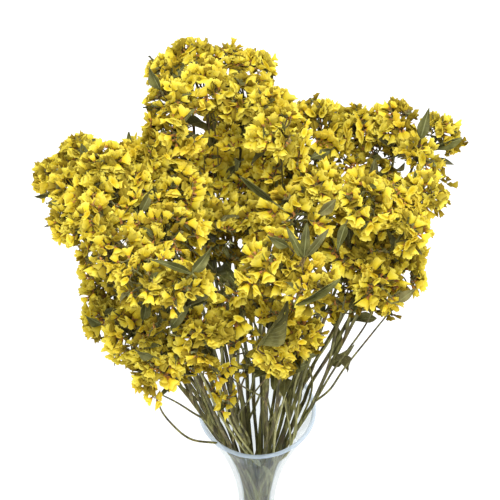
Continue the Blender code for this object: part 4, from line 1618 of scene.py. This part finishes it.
def sweep(name, runs, outline):
    """A mesh of runs, each (points, radii, twist), swept with the outline and capped."""
    curve = bpy.data.curves.new(name, "CURVE")
    curve.dimensions = "3D"
    curve.bevel_mode = "OBJECT"
    curve.bevel_object = outline
    curve.use_fill_caps = True
    for points, radii, twist in runs:
        spline = curve.splines.new("POLY")
        last = len(points) - 1
        spline.points.add(last)
        for k, (point, place, radius) in enumerate(zip(spline.points, points, radii)):
            point.co = (*place, 1)
            point.radius = radius
            point.tilt = twist * k / last
    guide = bpy.data.objects.new(name, curve)
    bpy.context.scene.collection.objects.link(guide)
    graph = bpy.context.evaluated_depsgraph_get()
    mesh = bpy.data.meshes.new_from_object(guide.evaluated_get(graph))
    bpy.data.objects.remove(guide, do_unlink=True)
    bm = bmesh.new()
    bm.from_mesh(mesh)
    bmesh.ops.remove_doubles(bm, verts=bm.verts[:], dist=MERGE)
    bmesh.ops.recalc_face_normals(bm, faces=bm.faces[:])
    bm.to_mesh(mesh)
    bm.free()
    return mesh


print("outlines to sweep:", winged_outline.name, "and", round_outline.name)

# %% Runs of a spray
TWIG_THICK, TWIG_THIN = 0.0008, 0.0005
TWIG_PULL = 0.4
TWIG_SINK = 0.0004
TWIG_PLAY = 0.0003
COMB_PULL = 0.2
COMB_HALF = 0.0075
BRANCH_SHARE = 0.92
RADIUS_PLAY = (0.94, 1.06)
WAIST_POINT = 2


def twig_run(base, heading, start, outward, row, rng):
    """A thin twig from a base on a stem to a comb, which it runs through along the row."""
    tail = start - row * COMB_HALF
    reach = (tail - base).length
    first_pull = base + heading * reach * TWIG_PULL
    last_pull = tail - (row + outward) * reach * COMB_PULL
    points = [
        bezier(base, first_pull, last_pull, tail, k / TWIG_STEPS) for k in range(TWIG_STEPS + 1)
    ]
    points += [start - outward * TWIG_SINK, start + row * COMB_HALF]
    last = len(points) - 1
    radii = [TWIG_THICK + (TWIG_THIN - TWIG_THICK) * k / last for k in range(last + 1)]
    for point in points[1:last]:
        point += random_way(rng) * TWIG_PLAY
    return points, radii, 0


def stalk_run(base, heading, root, along):
    """The stalk of a leaf, from a seat among the flowers."""
    reach = (root - base).length
    first_pull = base + heading * reach * TWIG_PULL
    last_pull = root - along * reach * TWIG_PULL
    points = [
        bezier(base, first_pull, last_pull, root, k / TWIG_STEPS) for k in range(TWIG_STEPS + 1)
    ]
    return points, [TWIG_THICK] * len(points), 0


def wander(points, reach, rng):
    """Bends a way a little from side to side, as stems bend when they dry; its ends stay."""
    waves = [
        (rng.uniform(*BENDS), rng.uniform(0, math.tau), across(random_way(rng), UP))
        for _ in range(WAVES)
    ]
    for k, point in enumerate(points):
        share = k / (len(points) - 1)
        room = reach * math.sin(math.pi * share) * (VASE_SHARE if point.z < VASE_HEIGHT else 1)
        for turns, start, off in waves:
            point += off * room * math.sin(math.tau * turns * share + start)


def stem_runs(spray, rng):
    """The winged runs of a spray: its stem and its branch."""
    runs = []
    for way, share in ((spray["stem"], 1.0), (spray["branch"], BRANCH_SHARE)):
        points = smooth_way(way, STEM_SMOOTHING)
        if way is spray["stem"]:
            free = slice(WAIST_POINT * STEM_SMOOTHING, spray["fork"] * STEM_SMOOTHING)
            wander(points[free], STEM_WANDER, rng)
        radii = [stem_radius(point) * share * rng.uniform(*RADIUS_PLAY) for point in points]
        runs.append((points, radii, STEM_TURNS * math.tau * rng.uniform(-1, 1)))
    return runs


print("twigs thin out from", TWIG_THICK * 2000, "to", TWIG_THIN * 2000, "mm")

# %% [markdown]
# Between the thick stems run thin side shoots, which were stripped of their flowers before the
# bunch was put in the vase. A crossing shoot leaves its own stem and ends beside another one.
# Pale shoots come down beside their stem and wind round the others inside the glass. A few bare
# ones curve out over the rim, and some stand in the dark of the hollow: both kinds were drawn
# in the slanting view.
# The pale sage of the shoots that wind inside the glass is painted light, so that they look lit.

# %% Side shoots and bare twigs
# The place of the rim among a stem's points, and the points that a shoot has between two
RIM_POINT = 5
SHOOT_SMOOTHING = 5
# Crossing shoots a spray, and the sprays from one pale shoot to the next
LEADERS = 1
EACH_SPIRAL = 2
SWINGS = (1.2, 2.4)
SPIRAL_HEIGHTS = (0.017, 0.045, 0.067, 0.10, 0.135, 0.17, 0.205)
SPIRAL_OFF = 0.004
SPIRAL_RADIUS = 0.0016
LEADER_RADIUS = 0.0010
LEADER_WANDER = 0.003
CROSSINGS = (-3, -2, -1, 0, 1, 2, 3)
# Points across and up in millimetres, with their reach from the middle of the rim
BARE_SHOOTS = (
    ((50, -128, 0.13), (62, -118, 0.25), (74, -100, 0.42), (96, -72, 0.66), (112, -52, 0.82)),
    ((-34, -164, 0.14), (-58, -160, 0.20), (-78, -142, 0.30), (-86, -126, 0.42), (-90, -112, 0.55)),
    ((-40, -146, 0.16), (-52, -140, 0.24), (-68, -130, 0.36), (-84, -122, 0.47)),
    ((-50, -128, 0.25), (-76, -108, 0.45), (-104, -92, 0.62), (-124, -78, 0.74)),
    ((44, -136, 0.14), (58, -104, 0.36), (66, -72, 0.58), (74, -40, 0.76)),
    ((46, -134, 0.16), (66, -100, 0.38), (90, -66, 0.64), (98, -48, 0.74)),
)
SHOOT_RADIUS = 0.0011
# The bare shoots go to the first spray and then to each fourth, those in the hollow to one spray
FIRST_OWNER, OWNER_STEP = 1, 4
HOLLOW_OWNER = 14
HOLLOW_RADIUS = 0.0013
HOLLOW_STEPS = 12
# Foot and top of the stems in the hollow: across, up and behind the aim, in millimetres
HOLLOW_STEMS = (
    ((-14, -60, 0), (-33, 22, 20)), ((-12, -60, 8), (-20, 24, 26)), ((-17, -58, 14), (-41, 12, 34)),
    ((-9, -58, 4), (-26, 26, 30)), ((-19, -56, 2), (-46, -2, 18)), ((-8, -56, 16), (-12, 20, 34)),
)


def thin_out(radius, foot_share, loss, points):
    """Radii for the points of a shoot, which thins out from its foot to its tip."""
    last = len(points) - 1
    return [radius * (foot_share - loss * k / last) for k in range(last + 1)]


def hollow_run(foot, top):
    """A stem through the dark of a hollow, from one spot in the slanting view to another."""
    ends = []
    for across_view, up_view, depth in (foot, top):
        eye, way = look_at(across_view, up_view)
        ends.append(eye + way * (VIEW_DISTANCE + depth * MM))
    points = [ends[0].lerp(ends[1], k / HOLLOW_STEPS) for k in range(HOLLOW_STEPS + 1)]
    return points, thin_out(HOLLOW_RADIUS, 1.1, 0.3, points), 0


def leader_run(number, spray, rng):
    """A thin shoot from inside the vase that leaves its own stem and crosses over to another."""
    other = sprays[(number + rng.choice(CROSSINGS)) % len(sprays)]
    way = spray["stem"][RIM_POINT - 1 : spray["fork"] + 3]
    points = []
    for k, place in enumerate(way):
        share = k / (len(way) - 1)
        points.append(place.lerp(other["stem"][RIM_POINT - 1 + k], share**2))
    points = smooth_way(points, SHOOT_SMOOTHING)
    wander(points, LEADER_WANDER, rng)
    return points, thin_out(LEADER_RADIUS, 1.15, 0.5, points), 0


def bare_shoot(points):
    """A shoot through places read in the slanting view."""
    way = [
        place_head(across_view, up_view, 1, reach)["middle"]
        for across_view, up_view, reach in points
    ]
    way = smooth_way(way, STEM_SMOOTHING)
    return way, thin_out(SHOOT_RADIUS, 1.1, 0.5, way), 0


def spiral_shoot(spray, rng):
    """A shoot that comes down beside its stem and then winds round the others inside the glass."""
    swing = rng.choice((-1, 1)) * rng.uniform(*SWINGS)
    rim = spray["stem"][RIM_POINT]
    off = across(random_way(rng), UP) * SPIRAL_OFF
    points = []
    for height in SPIRAL_HEIGHTS:
        down = (VASE_HEIGHT - height) / (VASE_HEIGHT - WAIST_HEIGHT)
        bearing = math.atan2(rim.y, rim.x) + swing * down
        out = inner_radius(height) - SPIRAL_RADIUS - GLASS_CLEARANCE
        points.append(Vector((out * math.cos(bearing), out * math.sin(bearing), height)))
    points += [place + off for place in spray["stem"][RIM_POINT + 1 : spray["fork"] + 2]]
    points = smooth_way(points, SHOOT_SMOOTHING)
    return points, thin_out(SPIRAL_RADIUS, 1.0, 0.45, points), 0


def join_tubes(name, parts):
    """One mesh of several, each (mesh, share of painted light), with that share kept on its points."""
    bm = bmesh.new()
    painted_lit = []
    for part, painted_lit_share in parts:
        bm.from_mesh(part)
        painted_lit += [painted_lit_share] * len(part.vertices)
        bpy.data.meshes.remove(part)
    mesh = bpy.data.meshes.new(name)
    bm.to_mesh(mesh)
    bm.free()
    mesh.attributes.new("painted_lit", "FLOAT", "POINT").data.foreach_set("value", painted_lit)
    return mesh


bare_shoots = {
    FIRST_OWNER + OWNER_STEP * k: [bare_shoot(points)] for k, points in enumerate(BARE_SHOOTS)
}
print("bare shoots over the rim:", len(bare_shoots))

# %% Make the stem pieces
for number, spray in enumerate(sprays, 1):
    name = f"winged_stem_{number:02d}"
    winged = sweep(name, stem_runs(spray, rng), winged_outline)
    twigs = [twig_run(*comb, rng) for comb in spray["combs"]]
    stalks = [stalk_run(*petiole) for petiole in spray["petioles"]]
    leaders = [leader_run(number - 1, spray, rng) for _ in range(LEADERS)]
    if number == HOLLOW_OWNER:
        leaders += [hollow_run(foot, top) for foot, top in HOLLOW_STEMS]
    thin = sweep(name, twigs + stalks + leaders + bare_shoots.get(number, []), round_outline)
    parts = [(winged, 0.0), (thin, 0.0)]
    # Painted light: every second spray's spiral shoot is marked to take the pale sage of lit stems
    if number % EACH_SPIRAL == 0:
        parts.append((sweep(name, [spiral_shoot(spray, rng)], round_outline), 1.0))
    mesh = join_tubes(name, parts)
    finish_piece(name, mesh, (stem_olive,), "dried_green", f"stem_{number:02d}")
print("stem pieces:", len(sprays))

# %% [markdown]
# ## Leaves
#
# The frame's leaves come first, each at its own place and size, and then those that are listed
# one by one. More stand just below the heads, with a small bract leaf under every second comb or
# so, as the photo shows. Solidify then gives all of them their thickness at once.

# %% Leaf stamps
MORE_LEAVES = 5
MORE_ANGLES = (25, 70)
MORE_LENGTHS = (0.020, 0.031)
MORE_WIDTHS = (0.3, 0.42)
TOP_LEGS = 2
BRACT_LEAF_SHARE = 0.55
BRACT_LEAF_ANGLES = (40, 85)
BRACT_LEAF_LENGTHS = (0.008, 0.017)
BRACT_LEAF_WIDTH = 0.36
BRACT_LEAF_SINK = 0.002
DRIEST = 0.7
LEAF_LIFT = 0.3
SHEET = 0.00035


def leaf_stamp(kinds, place, along, face, length, width, rng):
    """A leaf of a random kind at its place and size; few of them are dry."""
    size = Matrix.Diagonal((length, width, length, 1))
    kind = kinds[rng.randrange(len(kinds))]
    return kind, pose_of(place, along, face) @ size, rng.random() ** 3 * DRIEST


def leaf_out(place, tangent, lean, rng):
    """Which way a leaf runs that leaves a twig at an angle, and which way it faces."""
    side = across(random_way(rng), tangent)
    along = (tangent * math.cos(lean) + side * math.sin(lean)).normalized()
    outward = (place - RIM_CENTRE).normalized() + UP * LEAF_LIFT
    return along, (outward - along * outward.dot(along)).normalized()


def leaves_of(spray, rng):
    """All leaves of a spray as stamps."""
    given = spray["leaves"] + spray["shown_leaves"]
    stamps = [leaf_stamp(leaf_kinds, *leaf, rng) for leaf in given]
    for _ in range(MORE_LEAVES):
        on_branch = rng.random() < 0.5
        way = spray["branch"] if on_branch else spray["stem"]
        place, tangent = spot_on(way, len(way) - 1 - TOP_LEGS, rng)
        along, face = leaf_out(place, tangent, math.radians(rng.uniform(*MORE_ANGLES)), rng)
        length = rng.uniform(*MORE_LENGTHS)
        width = length * rng.uniform(*MORE_WIDTHS)
        stamps.append(leaf_stamp(leaf_kinds, place, along, face, length, width, rng))
    for _, _, start, outward, _ in spray["combs"]:
        if rng.random() < BRACT_LEAF_SHARE and not is_open(start, WINDOWS):
            lean = math.radians(rng.uniform(*BRACT_LEAF_ANGLES))
            along, face = leaf_out(start, outward, lean, rng)
            length = rng.uniform(*BRACT_LEAF_LENGTHS)
            width = length * BRACT_LEAF_WIDTH
            place = start - outward * BRACT_LEAF_SINK
            stamps.append(leaf_stamp(leaflet_kinds, place, along, face, length, width, rng))
    return stamps


def thicken(mesh):
    """Gives a sheet its thickness, both ways from where it is."""
    bm = bmesh.new()
    bm.from_mesh(mesh)
    bmesh.ops.solidify(bm, geom=bm.faces[:], thickness=SHEET)
    bmesh.ops.recalc_face_normals(bm, faces=bm.faces[:])
    bm.to_mesh(mesh)
    bm.free()


for number, spray in enumerate(sprays, 1):
    name = f"leaves_{number:02d}"
    mesh = join_stamps(name, leaves_of(spray, rng))
    thicken(mesh)
    finish_piece(name, mesh, (leaf_green,), "dried_green", f"stem_{number:02d}")
print("leaf pieces:", len(sprays))

# %% [markdown]
# ## The vase
#
# The vase is turned, so half a section is enough: its points run from the middle of the inner
# floor up the inside, over the rounded rim and down the outside to the foot. A spin in 96 steps
# makes it round, with the first and last steps merged.

# %% Spin the glass
VASE_STEPS = 96
FINE_STEPS = 28
RIM_BEND = 6
RIM_BAND = 0.0036
DIMPLE_DEPTH = 0.003
DIMPLE_RADIUS = 0.010


def vase_section():
    """Points (radius, height) of the glass from its inner floor over the rim to its base."""
    top = VASE_HEIGHT - RIM_ROUND
    inside = []
    outside = []
    for k in range(FINE_STEPS + 1):
        height = FLOOR_HEIGHT + (top - FLOOR_HEIGHT) * k / FINE_STEPS
        inside.append((inner_radius(height), height))
        outside.append((outer_radius(height), height))
    middle = (inside[-1][0] + outside[-1][0]) / 2
    half = (outside[-1][0] - inside[-1][0]) / 2
    rim = []
    for k in range(1, RIM_BEND):
        turn = math.pi * k / RIM_BEND
        rim.append((middle - half * math.cos(turn), top + RIM_ROUND * math.sin(turn)))
    foot = [
        (outer_radius(FOOT_EDGE * 2), FOOT_EDGE * 2),
        (FOOT_RADIUS, FOOT_EDGE),
        (FOOT_RADIUS - FOOT_EDGE * 0.2, FOOT_EDGE * 0.3),
        (FOOT_RADIUS - FOOT_EDGE * 0.7, 0),
        (0, 0),
    ]
    floor = [(0, FLOOR_HEIGHT - DIMPLE_DEPTH), (DIMPLE_RADIUS, FLOOR_HEIGHT - DIMPLE_DEPTH / 2)]
    return [*floor, *inside, *rim, *reversed(outside), *foot]


def make_glass_vase():
    """The section spun round the vase's axis into one closed mesh."""
    bm = bmesh.new()
    corners = [bm.verts.new((radius, 0, height)) for radius, height in vase_section()]
    edges = [bm.edges.new(pair) for pair in zip(corners, corners[1:])]
    bmesh.ops.spin(
        bm,
        geom=corners + edges,
        axis=(0, 0, 1),
        cent=(0, 0, 0),
        angle=math.tau,
        steps=VASE_STEPS,
        use_merge=True,
    )
    bmesh.ops.remove_doubles(bm, verts=bm.verts[:], dist=MERGE)
    bmesh.ops.recalc_face_normals(bm, faces=bm.faces[:])
    mesh = bpy.data.meshes.new("glass_vase")
    bm.to_mesh(mesh)
    bm.free()
    return mesh


glasses = (clear_glass, rim_glass)
glass_vase = finish_piece("glass_vase", make_glass_vase(), glasses, "clear_glass", "vase")
for face in glass_vase.data.polygons:
    if face.center.z > VASE_HEIGHT - RIM_BAND:
        face.material_index = 1
print("faces of the vase:", len(glass_vase.data.polygons))

# %% Tidy up what was only needed for making
for outline in (winged_outline, round_outline):
    bpy.data.objects.remove(outline, do_unlink=True)
all_kinds = (*fine_florets, *coarse_florets, *leaf_kinds, *leaflet_kinds, scale_kind)
for kind in all_kinds:
    bpy.data.meshes.remove(kind)
print("outlines and kinds removed:", 2 + len(all_kinds))

# %% [markdown]
# ## Floor, light and camera
#
# A white floor under a white sky gives the soft light of a light tent. The floor glows a little
# itself, so that it stays white under the bunch, and one large lamp above and in front gives the
# flowers their bright tops. The camera looks down by fifty degrees with a long lens, which shows
# the bunch almost without perspective.

# %% The studio
FLOOR_SIZE = 8.0
FLOOR_GREY = 0.35
FLOOR_GLOW = 0.72
WORLD_STRENGTH = 1.5
KEY_POWER = 36.0
KEY_SIZE = 0.9
KEY_PLACE = Vector((0.1, -0.5, 2.3))
KEY_TARGET = Vector((0, 0, 0.45))
LENS_PIXELS = 1765
PICTURE_PIXELS = 500
SENSOR = 36
BUNCH_PIXEL = 258


def make_floor():
    """A white floor that glows a little."""
    bm = bmesh.new()
    bmesh.ops.create_grid(bm, x_segments=1, y_segments=1, size=FLOOR_SIZE / 2)
    mesh = bpy.data.meshes.new("floor")
    bm.to_mesh(mesh)
    bm.free()
    floor = bpy.data.objects.new("floor", mesh)
    bpy.context.scene.collection.objects.link(floor)
    material, tree, shader, add = start_material("floor_white")
    shader.inputs["Base Color"].default_value = (FLOOR_GREY, FLOOR_GREY, FLOOR_GREY, 1)
    shader.inputs["Roughness"].default_value = 0.9
    shader.inputs["Emission Color"].default_value = (1, 1, 1, 1)
    shader.inputs["Emission Strength"].default_value = FLOOR_GLOW
    mesh.materials.append(material)


def make_light():
    """A square lamp above the bunch and an even white sky."""
    lamp = bpy.data.lights.new("key", "AREA")
    lamp.shape = "SQUARE"
    lamp.size = KEY_SIZE
    lamp.energy = KEY_POWER
    key = bpy.data.objects.new("key", lamp)
    key.location = KEY_PLACE
    key.rotation_mode = "QUATERNION"
    key.rotation_quaternion = (KEY_PLACE - KEY_TARGET).to_track_quat("Z", "Y")
    bpy.context.scene.collection.objects.link(key)
    world = bpy.data.worlds.new("light_tent")
    world.use_nodes = True
    sky = world.node_tree.nodes["Background"]
    sky.inputs["Color"].default_value = (1, 1, 1, 1)
    sky.inputs["Strength"].default_value = WORLD_STRENGTH
    bpy.context.scene.world = world


def make_camera():
    """A long lens in the slanting view, with the bunch's middle where the photo has it."""
    sideways = (BUNCH_PIXEL - PICTURE_PIXELS / 2) / LENS_PIXELS * VIEW_DISTANCE
    lens = bpy.data.cameras.new("camera")
    lens.sensor_width = SENSOR
    lens.lens = LENS_PIXELS / PICTURE_PIXELS * SENSOR
    camera = bpy.data.objects.new("camera", lens)
    camera.location = AIM + TOWARD * VIEW_DISTANCE - Vector((sideways, 0, 0))
    camera.rotation_mode = "QUATERNION"
    camera.rotation_quaternion = TOWARD.to_track_quat("Z", "Y")
    bpy.context.scene.collection.objects.link(camera)
    bpy.context.scene.camera = camera


make_floor()
make_light()
make_camera()
bpy.context.scene.view_settings.view_transform = "Standard"
print("camera at", tuple(round(x, 3) for x in bpy.context.scene.camera.location))

# %% Finish
print("done")
